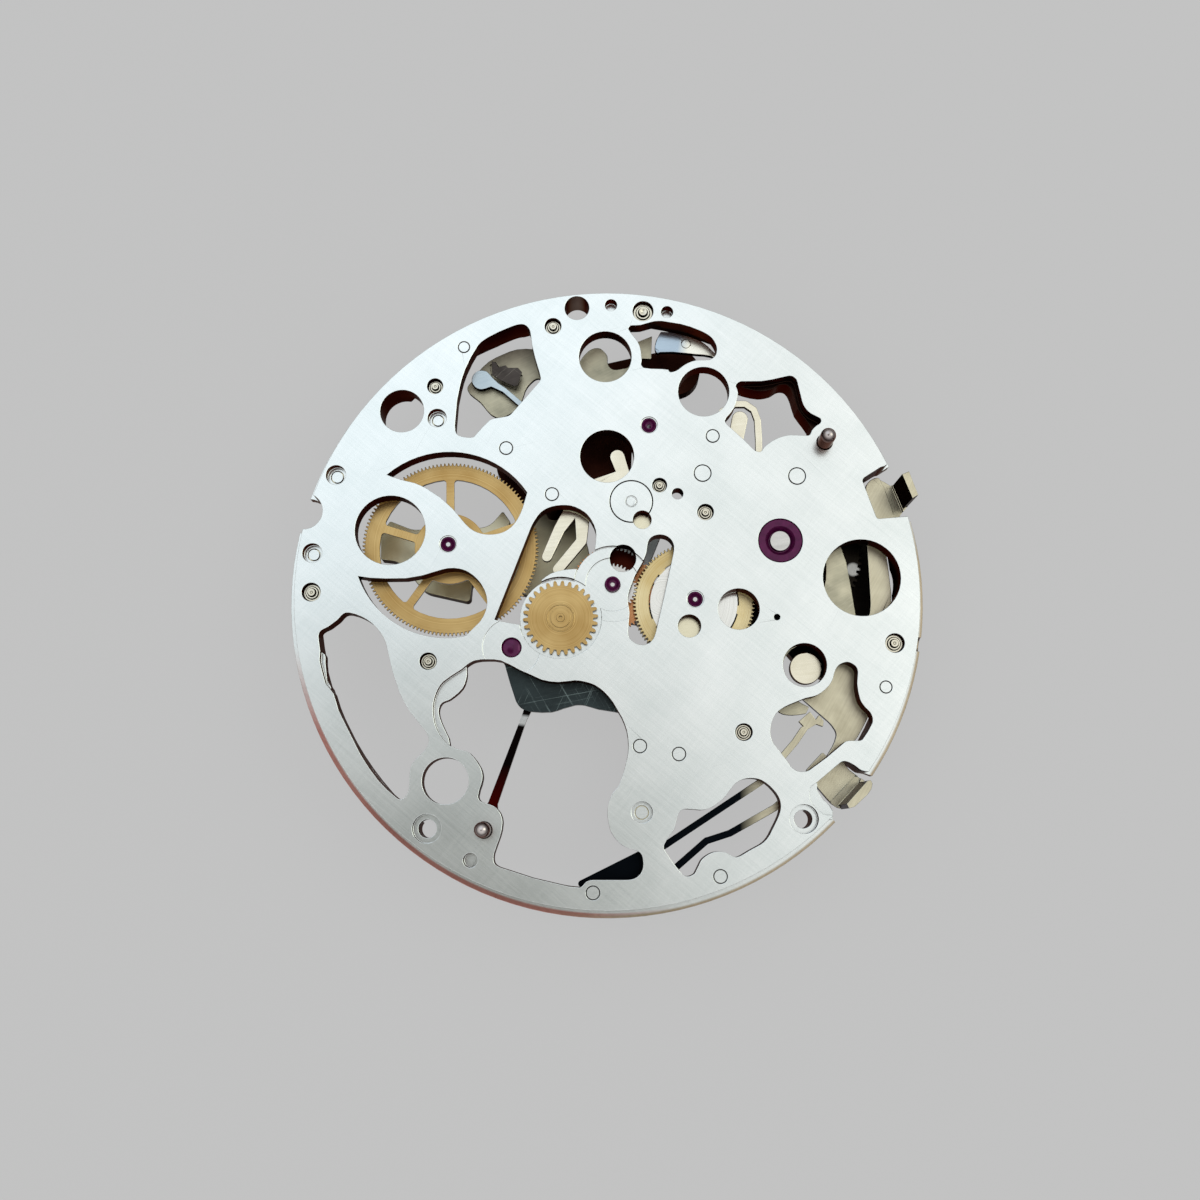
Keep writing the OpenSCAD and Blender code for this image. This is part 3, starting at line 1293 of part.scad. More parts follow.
coupling_outline = [[0.57, 13.31, 0], [1.15, 13.36], [1.81, 13.3], [2.5, 13.17], [2.95, 12.93],
    [3.4, 12.6], [3.9, 12.52], [4.35, 12.5], [4.6, 12.1], [4.35, 11.7], [3.95, 11.7],
    [3.6, 12.15], [3.2, 12.46], [2.45, 12.44], [1.94, 12.42], [1.29, 12.38], [0.69, 12.27, 0],
    [0.55, 12.21], [0.4, 12.45], [0.42, 12.88]];
coupling_pin_at = grow * [1.87, 12.88];
coupling_pin_r = 0.22;

module coupling_lever() {
    color("silver") seated() {
        lever_plate(coupling_pivot, stud_pin_r) polygon(flowing(coupling_outline));
        at(coupling_pin_at) rod(coupling_pin_r, upper_z + 0.04, upper_z - 0.1);
    }
}

module counter_lever() {
    color("silver") seated() lever_plate(counter_lever_pivot, stud_pin_r)
        chain(grow * [[-7.67, 9.53, 0.48], [-7.18, 9.48, 0.2], [-6.89, 9.35, 0.15],
            [-6.5, 9.2, 0.12], [-5.08, 8.3, 0.13], [-4.4, 7.4, 0.45]]);
}

module release_lever() {
    color("wheat") seated() lever_plate(release_pivot, stud_pin_r)
        chain(grow * [[5, 9.55, 0.38], [4.95, 8.5, 0.36], [4.55, 7.05, 0.42]]);
}

// Long thin lever that crosses the large window
module brake_lever() {
    color("dimgray") seated() slab(brake_z, brake_t) difference() {
        chain(grow * [[-2.6, -5, 0.25], [-2.95, -6.4, 0.14], [-3.72, -10.5, 0.22],
            [-3.81, -11.75, 0.6]]);
        translate(brake_pivot) circle(stud_pin_r + lever_gap);
    }
}

// Pair of beige bars seen in the window beside the counter wheel
module column_lever() {
    color("wheat") seated() lever_plate(column_pivot, stud_pin_r) {
        chain(grow * [[-1.9, 4.75, 0.45], [-2.75, 2.8, 0.27], [-3.12, 1.4, 0.24]]);
        chain(grow * [[-1.9, 4.75, 0.45], [-1.6, 2.4, 0.25], [-2.5, 0.85, 0.24]]);
        chain(grow * [[-1.9, 4.75, 0.45], [-0.1, 5.9, 0.3], [-0.55, 6.75, 0.35]]);
    }
}

setting_at = grow * [9.77, -1.99];

// Round head of the setting lever's screw
module setting_button() {
    color("wheat") seated() at(setting_at) {
        rod(0.75, web_z - 0.1, web_z - 0.5);
        rod(0.3, web_z - 0.5, bridge_z);
    }
}

main_plate();
train_jewels();
barrel_jewel();
end_jewel();
dial_posts();
steady_pins();
screw_tubes();
eccentric_stud();
train_bridge();
barrel_bridge();
counter_bridge();
balance_cock();
escapement_bridge();
bridge_screws();
corner_cover();
lever_cover();
dark_cover();
upper_jumper_spring();
lower_jumper_spring();
hairpin_spring();
detent_spring();
barrel_drum();
barrel_cover();
mainspring();
barrel_arbor();
ratchet_wheel();
ratchet_screw();
crown_wheel();
crown_wheel_screw();
click();
second_wheel();
second_arbor();
friction_disc();
centre_wheel();
centre_arbor();
third_wheel();
third_arbor();
fourth_wheel();
fourth_arbor();
escape_wheel();
escape_arbor();
pallet_fork();
pallet_stones();
balance_wheel();
balance_staff();
hairspring();
hairspring_stud();
minute_wheel();
minute_arbor();
counter_wheel();
counter_arbor();
start_lever();
reset_lever();
coupling_lever();
counter_lever();
release_lever();
brake_lever();
column_lever();
setting_button();
lever_studs();
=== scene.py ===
import json
import math
import bmesh
import bpy
from mathutils import Matrix, Vector


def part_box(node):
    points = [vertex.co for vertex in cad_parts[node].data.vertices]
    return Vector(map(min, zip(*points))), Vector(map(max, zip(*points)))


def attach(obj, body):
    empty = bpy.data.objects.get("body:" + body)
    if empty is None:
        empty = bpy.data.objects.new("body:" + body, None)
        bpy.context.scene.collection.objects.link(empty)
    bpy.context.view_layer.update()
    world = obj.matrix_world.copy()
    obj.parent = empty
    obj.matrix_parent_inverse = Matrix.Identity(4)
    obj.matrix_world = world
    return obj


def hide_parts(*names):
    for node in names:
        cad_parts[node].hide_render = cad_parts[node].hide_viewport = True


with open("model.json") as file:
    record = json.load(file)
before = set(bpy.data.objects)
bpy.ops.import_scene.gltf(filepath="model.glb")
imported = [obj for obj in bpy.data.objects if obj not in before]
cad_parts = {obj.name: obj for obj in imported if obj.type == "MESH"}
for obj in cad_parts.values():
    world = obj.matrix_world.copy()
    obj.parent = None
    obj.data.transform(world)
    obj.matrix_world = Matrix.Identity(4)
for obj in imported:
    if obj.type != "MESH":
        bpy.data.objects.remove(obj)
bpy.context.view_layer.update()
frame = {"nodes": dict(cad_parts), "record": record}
mm = 0.001
weldGap = 0.0005 * mm  # points nearer to each other than this are one
print("frame loaded:", len(frame["nodes"]), "nodes")


# Colours are sRGB hex values, turned to linear here
def tone(hexText):
    channels = [int(hexText[i:i + 2], 16) / 255 for i in (0, 2, 4)]
    linear = [c / 12.92 if c <= 0.04045 else ((c + 0.055) / 1.055) ** 2.4 for c in channels]
    return (*linear, 1.0)


# Adds one node: settings are its properties, links maps an input to a value or an output
def addNode(tree, kind, settings=None, links=None):
    node = tree.nodes.new(kind)
    for name, value in (settings or {}).items():
        setattr(node, name, value)
    for name, value in (links or {}).items():
        socket = node.inputs[name]
        if isinstance(value, bpy.types.NodeSocket):
            tree.links.new(value, socket)
        else:
            socket.default_value = value
    return node


def newMaterial(name):
    material = bpy.data.materials.new(name)
    material.use_nodes = True
    tree = material.node_tree
    return material, tree, tree.nodes["Principled BSDF"]


# Maps 0..1 to a range of plain numbers
def between(tree, factor, low, high):
    return addNode(tree, "ShaderNodeMapRange", {}, {"Value": factor, "To Min": low,
        "To Max": high}).outputs[0]


# Maps a range of plain numbers to 0..1, smoothly or straight
def ranged(tree, value, low, high, kind="LINEAR"):
    return addNode(tree, "ShaderNodeMapRange", {"interpolation_type": kind}, {"Value": value,
        "From Min": low, "From Max": high}).outputs[0]


def blendValue(tree, factor, a, b):
    return addNode(tree, "ShaderNodeMix", {}, {0: factor, 2: a, 3: b}).outputs[0]


def blendColour(tree, factor, a, b):
    return addNode(tree, "ShaderNodeMix", {"data_type": "RGBA"}, {0: factor, 6: a, 7: b}).outputs[2]


def blendTones(tree, factor, dark, light):
    return blendColour(tree, factor, tone(dark), tone(light))


def plainMath(tree, operation, values):
    return addNode(tree, "ShaderNodeMath", {"operation": operation},
        dict(enumerate(values))).outputs[0]


def vectorMath(tree, operation, a, b):
    return addNode(tree, "ShaderNodeVectorMath", {"operation": operation}, {0: a, 1: b})


def flattened(tree, vector):
    return vectorMath(tree, "MULTIPLY", vector, (1, 1, 0)).outputs[0]


def heightOf(tree, vector):
    return addNode(tree, "ShaderNodeSeparateXYZ", {}, {0: vector}).outputs["Z"]


# Object coordinates, turned about the plate's axis and measured in the given sizes
def placed(tree, angle, size):
    coords = addNode(tree, "ShaderNodeTexCoord").outputs["Object"]
    return addNode(tree, "ShaderNodeMapping", {"vector_type": "TEXTURE"}, {"Vector": coords,
        "Rotation": (0, 0, math.radians(angle)), "Scale": size}).outputs[0]


grainNoise = {"Scale": 1.0, "Detail": 3.0, "Roughness": 0.6}
cloudNoise = {"Scale": 1.0, "Detail": 2.0, "Roughness": 0.5}
secondStroke = {"share": 0.4, "spacing": 1.5, "length": 0.8}
scratch = {"width": 0.05 * mm, "length": 5 * mm, "edge": 0.05}


# Straight grain: noise drawn out along one direction of the XY plane
def straightGrain(tree, angle, spacing, length):
    vector = placed(tree, angle, (length, spacing, length))
    return addNode(tree, "ShaderNodeTexNoise", {}, {"Vector": vector, **grainNoise}).outputs["Fac"]


# Brushing with a short stroke that crosses an older one: two grains at right angles
def crossGrain(tree, angle, spacing, length):
    first = straightGrain(tree, angle, spacing, length)
    second = straightGrain(tree, angle + 90, spacing * secondStroke["spacing"],
        length * secondStroke["length"])
    return blendValue(tree, secondStroke["share"], first, second)


# Turned grain: noise that depends on the distance from an axis alone
def turnedGrain(tree, centre, spacing):
    coords = addNode(tree, "ShaderNodeTexCoord").outputs["Object"]
    moved = vectorMath(tree, "SUBTRACT", coords, centre).outputs[0]
    radius = addNode(tree, "ShaderNodeVectorMath", {"operation": "LENGTH"},
        {0: flattened(tree, moved)}).outputs["Value"]
    return addNode(tree, "ShaderNodeTexNoise", {"noise_dimensions": "1D"}, {"W": radius,
        "Scale": 1 / spacing, "Detail": 2.0}).outputs["Fac"]


# Grains for a look, with their sizes in millimetres
def straight(angle, spacing, length):
    return lambda tree: straightGrain(tree, angle, spacing * mm, length * mm)


def crossed(angle, spacing, length):
    return lambda tree: crossGrain(tree, angle, spacing * mm, length * mm)


# Soft clouds of tarnish and wiping
def mottle(tree, size):
    return addNode(tree, "ShaderNodeTexNoise", {}, {"Vector": placed(tree, 0, (size,) * 3),
        **cloudNoise}).outputs["Fac"]


# Thin handling scratches: the rare crests of a long, fine noise
def scratches(tree, angle, rarity):
    crest = straightGrain(tree, angle, scratch["width"], scratch["length"])
    return ranged(tree, crest, rarity, rarity + scratch["edge"])


def normalHeight(tree):
    return heightOf(tree, addNode(tree, "ShaderNodeNewGeometry").outputs["Normal"])


# Heights of the normal between which a wall becomes a flat face, or a face one that looks up
facing = {"flat": (0.55, 0.9), "inner": (0.3, 0.6)}


# 1 on faces that look along the axis of the plate, 0 on walls
def facingUp(tree):
    return ranged(tree, plainMath(tree, "ABSOLUTE", [normalHeight(tree)]), *facing["flat"])


# 1 inside a zone of the plate, in millimetres: along a direction, or out from a spot
def zoneMask(tree, zone):
    coords = placed(tree, 0, (mm,) * 3)
    mask = None
    for kind, place, low, high in zone["where"]:
        if kind == "along":
            value = vectorMath(tree, "DOT_PRODUCT", coords, place)
        else:
            value = vectorMath(tree, "DISTANCE", flattened(tree, coords), place)
        part = ranged(tree, value.outputs["Value"], low, high)
        mask = part if mask is None else plainMath(tree, "MULTIPLY", [mask, part])
    return mask


# Colour, roughness and a fine relief for a shader
def dress(tree, shader, colour, rough, height, relief, depth):
    bump = addNode(tree, "ShaderNodeBump", {}, {"Height": height, "Strength": relief,
        "Distance": depth})
    tree.links.new(colour, shader.inputs["Base Color"])
    tree.links.new(rough, shader.inputs["Roughness"])
    tree.links.new(bump.outputs[0], shader.inputs["Normal"])


# What a look has where it doesn't say otherwise. The spread keeps a face between its two tones
plainLook = {"cloud": 2.5 * mm, "cloudShare": 0.3, "spread": (-0.4, 1.4), "zones": (),
    "scratchAngles": (), "rarity": 0.66, "metallic": 1.0, "edgeTint": (1, 1, 1, 1),
    "depth": 0.004 * mm}


# Metal with a grain: colour, roughness and a fine relief all follow it. Clouds and scratches lie
# over it. Walls, which were milled and not brushed, have a tone of their own, painted shade, dark
# in most looks. So have some zones, the wall of the rim, painted lighter as painted light, and the
# inner faces, which look up from under the wheels
def grainedMetal(name, ownLook, grain):
    look = {**plainLook, **ownLook}
    material, tree, shader = newMaterial(name)
    fine = grain(tree)
    clouds = mottle(tree, look["cloud"])
    factor = blendValue(tree, look["cloudShare"], fine, clouds)
    face = blendTones(tree, between(tree, factor, *look["spread"]), look["dark"], look["light"])
    for angle in look["scratchAngles"]:
        marks = between(tree, scratches(tree, angle, look["rarity"]), 0, look["scratchShare"])
        face = blendColour(tree, marks, face, tone(look["scratch"]))
    rough = between(tree, factor, *look["rough"])
    if "inner" in look:
        inside = ranged(tree, normalHeight(tree), *facing["inner"])
        face = blendColour(tree, inside, face,
            blendTones(tree, factor, look["inner"], look["innerLight"]))
    for zone in look["zones"]:
        zoneTone = blendTones(tree, factor, zone["dark"], zone["light"])
        face = blendColour(tree, zoneMask(tree, zone), face, zoneTone)
    # Painted shade: the walls' own tone, dark in most looks; the rim wall is painted lighter
    if "wall" in look:
        wall = blendTones(tree, clouds, look["wall"], look["wallLight"])
        if "rim" in look:
            rimTone = blendTones(tree, clouds, look["rim"]["dark"], look["rim"]["light"])
            wall = blendColour(tree, zoneMask(tree, look["rim"]), wall, rimTone)
        flat = facingUp(tree)
        face = blendColour(tree, flat, wall, face)
        rough = blendValue(tree, flat, look["wallRough"], rough)
    dress(tree, shader, face, rough, fine, look["relief"], look["depth"])
    shader.inputs["Metallic"].default_value = look["metallic"]
    shader.inputs["Specular Tint"].default_value = look["edgeTint"]
    return material


dullEdge = (0.3, 0.25, 0.23, 1)

# Nickel-plated brass, finely brushed across the plate: pale, with a soft sheen and a few
# scratches. A copper reflection is painted along the lower edge of the flange
# Painted reflection: a copper tone along the lower left edge of the flange
paintedCopperReflection = {"dark": "9A5C54", "light": "DDA79B", "where": (
    ("beyond", (0, 0, 0), 14.74, 14.82), ("along", (-0.42, -0.9, 0), 10.2, 12.8))}
# A cream band along the lower right edge of the flange
creamFlangeBand = {"dark": "8A7B66", "light": "CDBFA4", "where": (
    ("beyond", (0, 0, 0), 14.82, 14.92), ("along", (0.86, -0.5, 0), 7.0, 10.5))}
# Painted shade: near black on the faces that sit deep, within about 4 mm of a spot at the plate's
# upper right
deepLedgeShade = {"dark": "120B09", "light": "3A2822", "where": (
    ("along", (0, 0, -1), -4.3, -4.2), ("beyond", (6.9, 11.6, 0), 4.4, 4.0))}
# Painted light: the wall of the rim, open to the outside, is lighter than the walls in the windows
litRimWall = {"dark": "4E3F3A", "light": "A3958E", "where": (("beyond", (0, 0, 0), 14.3, 14.5),)}
# The plate's walls are painted shade, near black to brown
nickelLook = {"dark": "DAE2E0", "light": "F8FCFA", "wall": "1C100D", "wallLight": "735042",
    "wallRough": 0.35, "rough": (0.2, 0.27), "relief": 0.2, "cloud": 3 * mm, "cloudShare": 0.45,
    "edgeTint": dullEdge, "scratch": "A3A8A8", "scratchAngles": (-36, 24, 71),
    "scratchShare": 0.35, "rarity": 0.7, "zones": (paintedCopperReflection, creamFlangeBand, deepLedgeShade),
    "rim": litRimWall}
nickelFace = grainedMetal("brushedNickel", nickelLook, crossed(-31, 0.09, 2))

# Pins of the same plating: painted shade, a dark line, where the groove round the head lies, and
# cream heads where they sit deep
pinGrooveShade = {"dark": "4A4A48", "light": "6E6E6A", "where": (
    ("along", (0, 0, -1), -4.664, -4.658), ("along", (0, 0, 1), 4.5, 4.51))}
deepHead = {"dark": "D9D3B4", "light": "F5F0D6", "where": (("along", (0, 0, -1), -4.2, -4.1),)}
pinLook = dict(nickelLook, zones=(pinGrooveShade, deepHead))
pinNickel = grainedMetal("pinNickel", pinLook, straight(20, 0.05, 0.3))

# Nickel-plated bridges, brushed lengthwise behind. The barrel bridge's faces on the wheels' side,
# which look up, are painted near black as shade
bridgeLook = {"dark": "B4B8BA", "light": "DDE0E1", "wall": "3A3532", "wallLight": "6A6460",
    "wallRough": 0.3, "rough": (0.3, 0.42), "relief": 0.3, "scratch": "8F9294",
    "scratchAngles": (12, 80), "scratchShare": 0.4, "edgeTint": dullEdge}
bridgeNickel = grainedMetal("bridgeNickel", bridgeLook, straight(0, 0.1, 5))
# Painted shade: near black on the barrel bridge's faces that look up
barrelBridgeShadeLook = dict(bridgeLook, inner="0C0A09", innerLight="2A2622")
barrelSide = grainedMetal("barrelBridgeShadeNickel", barrelBridgeShadeLook, straight(0, 0.1, 5))

# Bridge under the counting train: warm cream on the faces that look up, and painted shade,
# brown-black, towards the plate's top
counterTopShade = {"dark": "0A0605", "light": "4A261C", "where": (("along", (0.15, 1, 0), 2.6, 3.6),)}
counterSideLook = dict(bridgeLook, inner="B4B094", innerLight="EDE7CB", wall="0E0B08",
    wallLight="2E2620", cloud=1.0 * mm, cloudShare=0.7, zones=(counterTopShade,))
counterSide = grainedMetal("counterSideNickel", counterSideLook, straight(35, 0.08, 2))

# Covers seen in the windows: the same plating, warm and clouded. The corner cover has painted
# shade, brown, towards the plate's upper left
warmLook = {"dark": "8C8A78", "light": "D6D0B6", "wall": "0C0907", "wallLight": "2A221A",
    "wallRough": 0.35, "rough": (0.34, 0.46), "relief": 0.25, "cloud": 0.9 * mm,
    "cloudShare": 0.75, "edgeTint": dullEdge, "scratch": "F0ECD8", "scratchAngles": (-30, 52),
    "scratchShare": 0.35, "rarity": 0.68}
warmNickel = grainedMetal("warmNickel", warmLook, straight(35, 0.06, 1))
# Painted shade: brown on the corner cover towards the plate's upper left
cornerShade = {"dark": "2E241E", "light": "6A5D52", "where": (
    ("along", (-0.35, 1, 0), 11.6, 14.2), ("along", (-1, 0, 0), 2.8, 4.0))}
cornerLook = dict(warmLook, zones=(cornerShade,))
cornerNickel = grainedMetal("cornerNickel", cornerLook, straight(35, 0.06, 1))
# Painted shade: the dark tone of the plate set in the corner cover's pocket
pocketShadeLook = dict(warmLook, dark="2A2624", light="5C5652", wall="0A0807", wallLight="1A1614")
pocketShadeNickel = grainedMetal("pocketShadeNickel", pocketShadeLook, straight(35, 0.06, 1))

# Champagne-toned steel of the levers, straight-grained
leverLook = {"dark": "ABA48C", "light": "DED8BE", "wall": "0E0C09", "wallLight": "37322A",
    "wallRough": 0.28, "rough": (0.26, 0.38), "relief": 0.2, "cloud": 1.2 * mm,
    "cloudShare": 0.6, "edgeTint": dullEdge, "scratch": "8E8872", "scratchAngles": (10, 64),
    "scratchShare": 0.3, "rarity": 0.7}
leverSteel = grainedMetal("leverSteel", leverLook, straight(70, 0.08, 2))

# Reset lever: the same steel with blue-grey, polished flanks
resetLook = dict(leverLook, wall="0E1826", wallLight="A9C0D4", wallRough=0.2, cloud=0.8 * mm)
resetSteel = grainedMetal("resetSteel", resetLook, straight(70, 0.08, 2))

# Jumper blades: champagne near their tips and near black towards their feet
nearBlackFoot = {"dark": "05070A", "light": "10151A", "where": (("along", (-1, -0.15, 0), -7.3, -6.3),)}
bladeLook = dict(leverLook, wall="070707", wallLight="1A1A1C", zones=(nearBlackFoot,))
bladeSteel = grainedMetal("bladeSteel", bladeLook, straight(30, 0.06, 2))

# Bright cream polish of the small levers and caps
creamLook = dict(leverLook, dark="D8D2BA", light="F6F2DF", rough=(0.16, 0.26), wall="2A251C",
    wallLight="5E5648")
creamSteel = grainedMetal("creamSteel", creamLook, straight(15, 0.1, 2))

# Ivory polish of the coupling lever, colder towards its left end
coldEnd = {"dark": "8FA2B2", "light": "C6D6E2", "where": (("along", (-1, 0, 0), -2.0, -1.5),)}
ivoryLook = dict(creamLook, dark="DCDAC8", light="FBFAEE", wall="060505", wallLight="1E1A16",
    zones=(coldEnd,))
ivorySteel = grainedMetal("ivorySteel", ivoryLook, straight(15, 0.1, 2))

# Cold bluish steel of the counting lever
coldLook = dict(leverLook, dark="A6B4BB", light="CDDBE1", wall="101416", wallLight="2C3438")
coldSteel = grainedMetal("coldSteel", coldLook, straight(30, 0.08, 3))

# Polished steel: bright and smooth
polishLook = {"dark": "B9B9B6", "light": "DCDCD8", "rough": (0.12, 0.2), "relief": 0.05}
polishedSteel = grainedMetal("polishedSteel", polishLook, straight(15, 0.2, 2))

# Turned posts: the same steel, with painted shade and a painted pink reflection down their sides
postLook = dict(polishLook, dark="A39A98", light="CFC9C6", wall="3A2A28", wallLight="8E7672",
    wallRough=0.16, edgeTint=(0.4, 0.33, 0.31, 1))
postSteel = grainedMetal("postSteel", postLook, straight(15, 0.2, 2))

# Turned steel of the friction disc: circles round its axis
discLook = dict(polishLook, dark="D5D6D0", light="F6F7F2", relief=0.3)
discAxis = (2.66 * mm, 0.3 * mm, 0)
discSteel = grainedMetal("turnedSteel", discLook, lambda t: turnedGrain(t, discAxis, 0.06 * mm))

# Screw tubes: turned brass, bright on their faces, with painted shade, dark, on the walls round
# the mouth
tubeLook = {"dark": "CDC7B2", "light": "F2EEDC", "wall": "1A1410", "wallLight": "4A4034",
    "wallRough": 0.25, "rough": (0.2, 0.3), "relief": 0.2, "cloud": 0.3 * mm,
    "cloudShare": 0.5, "edgeTint": dullEdge}
tubeBrass = grainedMetal("tubeBrass", tubeLook, straight(15, 0.08, 0.4))

# Tempered spring steel, darker and a little blue
springLook = {"dark": "2A2C2E", "light": "55585A", "rough": (0.2, 0.32), "relief": 0.15}
springSteel = grainedMetal("springSteel", springLook, straight(50, 0.1, 3))

# Brake wire: blued black, dark red low down, and a painted highlight, a bright band, near its top
redLowZone = {"dark": "2E0504", "light": "6A100C", "where": (("along", (0, -1, 0), 8.6, 10.4),)}
# Painted highlight: a bright band on the wire near its top
paintedHighlightBand = {"dark": "B9BDBF", "light": "EEF0EE", "where": (
    ("along", (0, 1, 0), -6.75, -6.6), ("along", (0, -1, 0), 6.15, 6.3))}
brakeLook = {"dark": "060405", "light": "17100F", "rough": (0.14, 0.24), "relief": 0.1,
    "edgeTint": dullEdge, "zones": (redLowZone, paintedHighlightBand)}
brakeSteel = grainedMetal("brakeSteel", brakeLook, straight(70, 0.05, 1))

# Dark coated steel, green-black and satin, with rubbed scratches
darkLook = {"dark": "182224", "light": "333F40", "rough": (0.3, 0.5), "relief": 0.4,
    "metallic": 0.6, "scratch": "8A9C9A", "scratchAngles": (20, -50, 75), "scratchShare": 0.8,
    "rarity": 0.64, "cloudShare": 0.6, "cloud": 0.8 * mm, "wall": "06090A",
    "wallLight": "141A1A", "wallRough": 0.4}
darkSteel = grainedMetal("darkCoatedSteel", darkLook, straight(20, 0.08, 0.8))

# Gilt brass turned on a lathe: circles of fine grain round the wheel's axis. The centre wheel is
# orange and dark red-black in one place, and the barrel is painted near black as shade, round a
# grey lens painted as the pale floor seen through
giltLook = {"dark": "A57F44", "light": "DDC084", "wall": "1E1408", "wallLight": "60461F",
    "wallRough": 0.28, "rough": (0.26, 0.36), "relief": 0.15, "cloud": 1.5 * mm,
    "cloudShare": 0.6}
# Dark red-black in one place on the centre wheel
darkRedSpot = {"dark": "160504", "light": "4A1A10", "where": (("beyond", (0.5, 2.1, 0), 1.1, 0.8),)}
orangeLook = dict(giltLook, dark="A8683A", light="E0A878", zones=(darkRedSpot,))
# Painted light: a lighter copy of the same gilt for the second wheel
litGiltLook = dict(giltLook, dark="C4A662", light="F6EBC0")
# Painted see-through: a grey lens on the barrel, the colour of the pale floor
lens = {"dark": "8E8E8A", "light": "C4C4C0", "where": (("beyond", (11.5, 3.25, 0), 0.36, 0.26),)}
# Painted shade: the barrel near black
barrelDrumShadeLook = dict(giltLook, dark="0E0C0A", light="2A2620", wall="060504", wallLight="14120E",
    zones=(lens,))


# counter_wheel becomes counterWheel
def camelName(node):
    first, *rest = node.split("_")
    return first + "".join(word.capitalize() for word in rest)


def giltWheel(node, look):
    low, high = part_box(node)
    centre = (low + high) / 2
    return grainedMetal(camelName(node) + "Gilt", look,
        lambda t: turnedGrain(t, centre, 0.05 * mm))


# Synthetic ruby: deep plum and glossy
rubyLook = {"dark": "1E0418", "light": "5E1448", "cloud": 0.25 * mm, "rough": (0.05, 0.12),
    "relief": 0.05, "depth": 0.01 * mm, "ior": 1.76, "edgeTint": (0.6, 0.28, 0.5, 1)}
ruby, rubyTree, rubyShader = newMaterial("ruby")
rubyCloud = mottle(rubyTree, rubyLook["cloud"])
dress(rubyTree, rubyShader, blendTones(rubyTree, rubyCloud, rubyLook["dark"], rubyLook["light"]),
    between(rubyTree, rubyCloud, *rubyLook["rough"]), rubyCloud, rubyLook["relief"],
    rubyLook["depth"])
rubyShader.inputs["IOR"].default_value = rubyLook["ior"]
rubyShader.inputs["Specular Tint"].default_value = rubyLook["edgeTint"]

wearersOf = (
    (nickelFace, ("main_plate", "eccentric_stud")), (pinNickel, ("steady_pins",)),
    (bridgeNickel, ("train_bridge", "balance_cock")), (barrelSide, ("barrel_bridge",)),
    (counterSide, ("counter_bridge",)), (warmNickel, ("lever_cover", "escapement_bridge")),
    (cornerNickel, ("corner_cover",)), (darkSteel, ("dark_cover",)),
    (ruby, ("train_jewels", "barrel_jewel", "end_jewel", "pallet_stones")),
    (springSteel, ("mainspring", "hairspring")), (brakeSteel, ("brake_lever",)),
    (postSteel, ("dial_posts",)), (discSteel, ("friction_disc",)),
    (leverSteel, ("start_lever", "detent_spring")), (resetSteel, ("reset_lever",)),
    (coldSteel, ("counter_lever",)), (ivorySteel, ("coupling_lever",)),
    (creamSteel, ("release_lever", "hairpin_spring", "setting_button", "column_lever")),
    (tubeBrass, ("screw_tubes",)),
    (bladeSteel, ("upper_jumper_spring", "lower_jumper_spring")))
giltLooks = {"third_wheel": giltLook, "fourth_wheel": giltLook, "counter_wheel": giltLook,
    "minute_wheel": giltLook, "minute_arbor": giltLook, "balance_wheel": giltLook,
    "escape_wheel": giltLook, "barrel_drum": barrelDrumShadeLook, "barrel_cover": barrelDrumShadeLook,
    "second_wheel": litGiltLook, "centre_wheel": orangeLook}
finishOf = {node: finish for finish, nodes in wearersOf for node in nodes}
for node, look in giltLooks.items():
    finishOf[node] = giltWheel(node, look)
for name, obj in frame["nodes"].items():
    obj.data.materials.clear()
    obj.data.materials.append(finishOf.get(name, polishedSteel))
print("finishes on the construction done")


def newObject(name, data):
    obj = bpy.data.objects.new(name, data)
    bpy.context.scene.collection.objects.link(obj)
    return obj


easing = {"segments": 2, "angle": 40}


# A copy of a CAD solid with its edges eased, which takes the solid's place
def eased(node, pieceName, body, width):
    mesh = frame["nodes"][node].data.copy()
    work = bmesh.new()
    work.from_mesh(mesh)
    bmesh.ops.remove_doubles(work, verts=work.verts, dist=weldGap)
    work.to_mesh(mesh)
    work.free()
    mesh.shade_flat()
    piece = newObject(pieceName, mesh)
    edge = piece.modifiers.new("edge", "BEVEL")
    edge.width, edge.segments, edge.limit_method = width, easing["segments"], "ANGLE"
    edge.angle_limit, edge.use_clamp_overlap = math.radians(easing["angle"]), False
    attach(piece, body)
    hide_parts(node)


# Width of the eased edge of each piece, in millimetres
easedWidth = {"main_plate": 0.02, "counter_wheel": 0.01, "minute_wheel": 0.015,
    "second_wheel": 0.01, "coupling_lever": 0.03, "counter_lever": 0.02, "release_lever": 0.02,
    "column_lever": 0.02, "start_lever": 0.025, "reset_lever": 0.025, "corner_cover": 0.02,
    "lever_cover": 0.02, "dark_cover": 0.02, "upper_jumper_spring": 0.02,
    "lower_jumper_spring": 0.02, "hairpin_spring": 0.02, "detent_spring": 0.02,
    "setting_button": 0.03, "eccentric_stud": 0.015, "train_bridge": 0.03,
    "barrel_bridge": 0.03, "counter_bridge": 0.03, "balance_cock": 0.03, "balance_wheel": 0.015,
    "ratchet_wheel": 0.015, "crown_wheel": 0.015}
bodyOf = {node: body for body, nodes in frame["record"]["behaviour"]["bodies"].items()
    for node in nodes}
for node, width in easedWidth.items():
    eased(node, camelName(node), bodyOf[node], width * mm)
print("eased", len(easedWidth), "pieces")

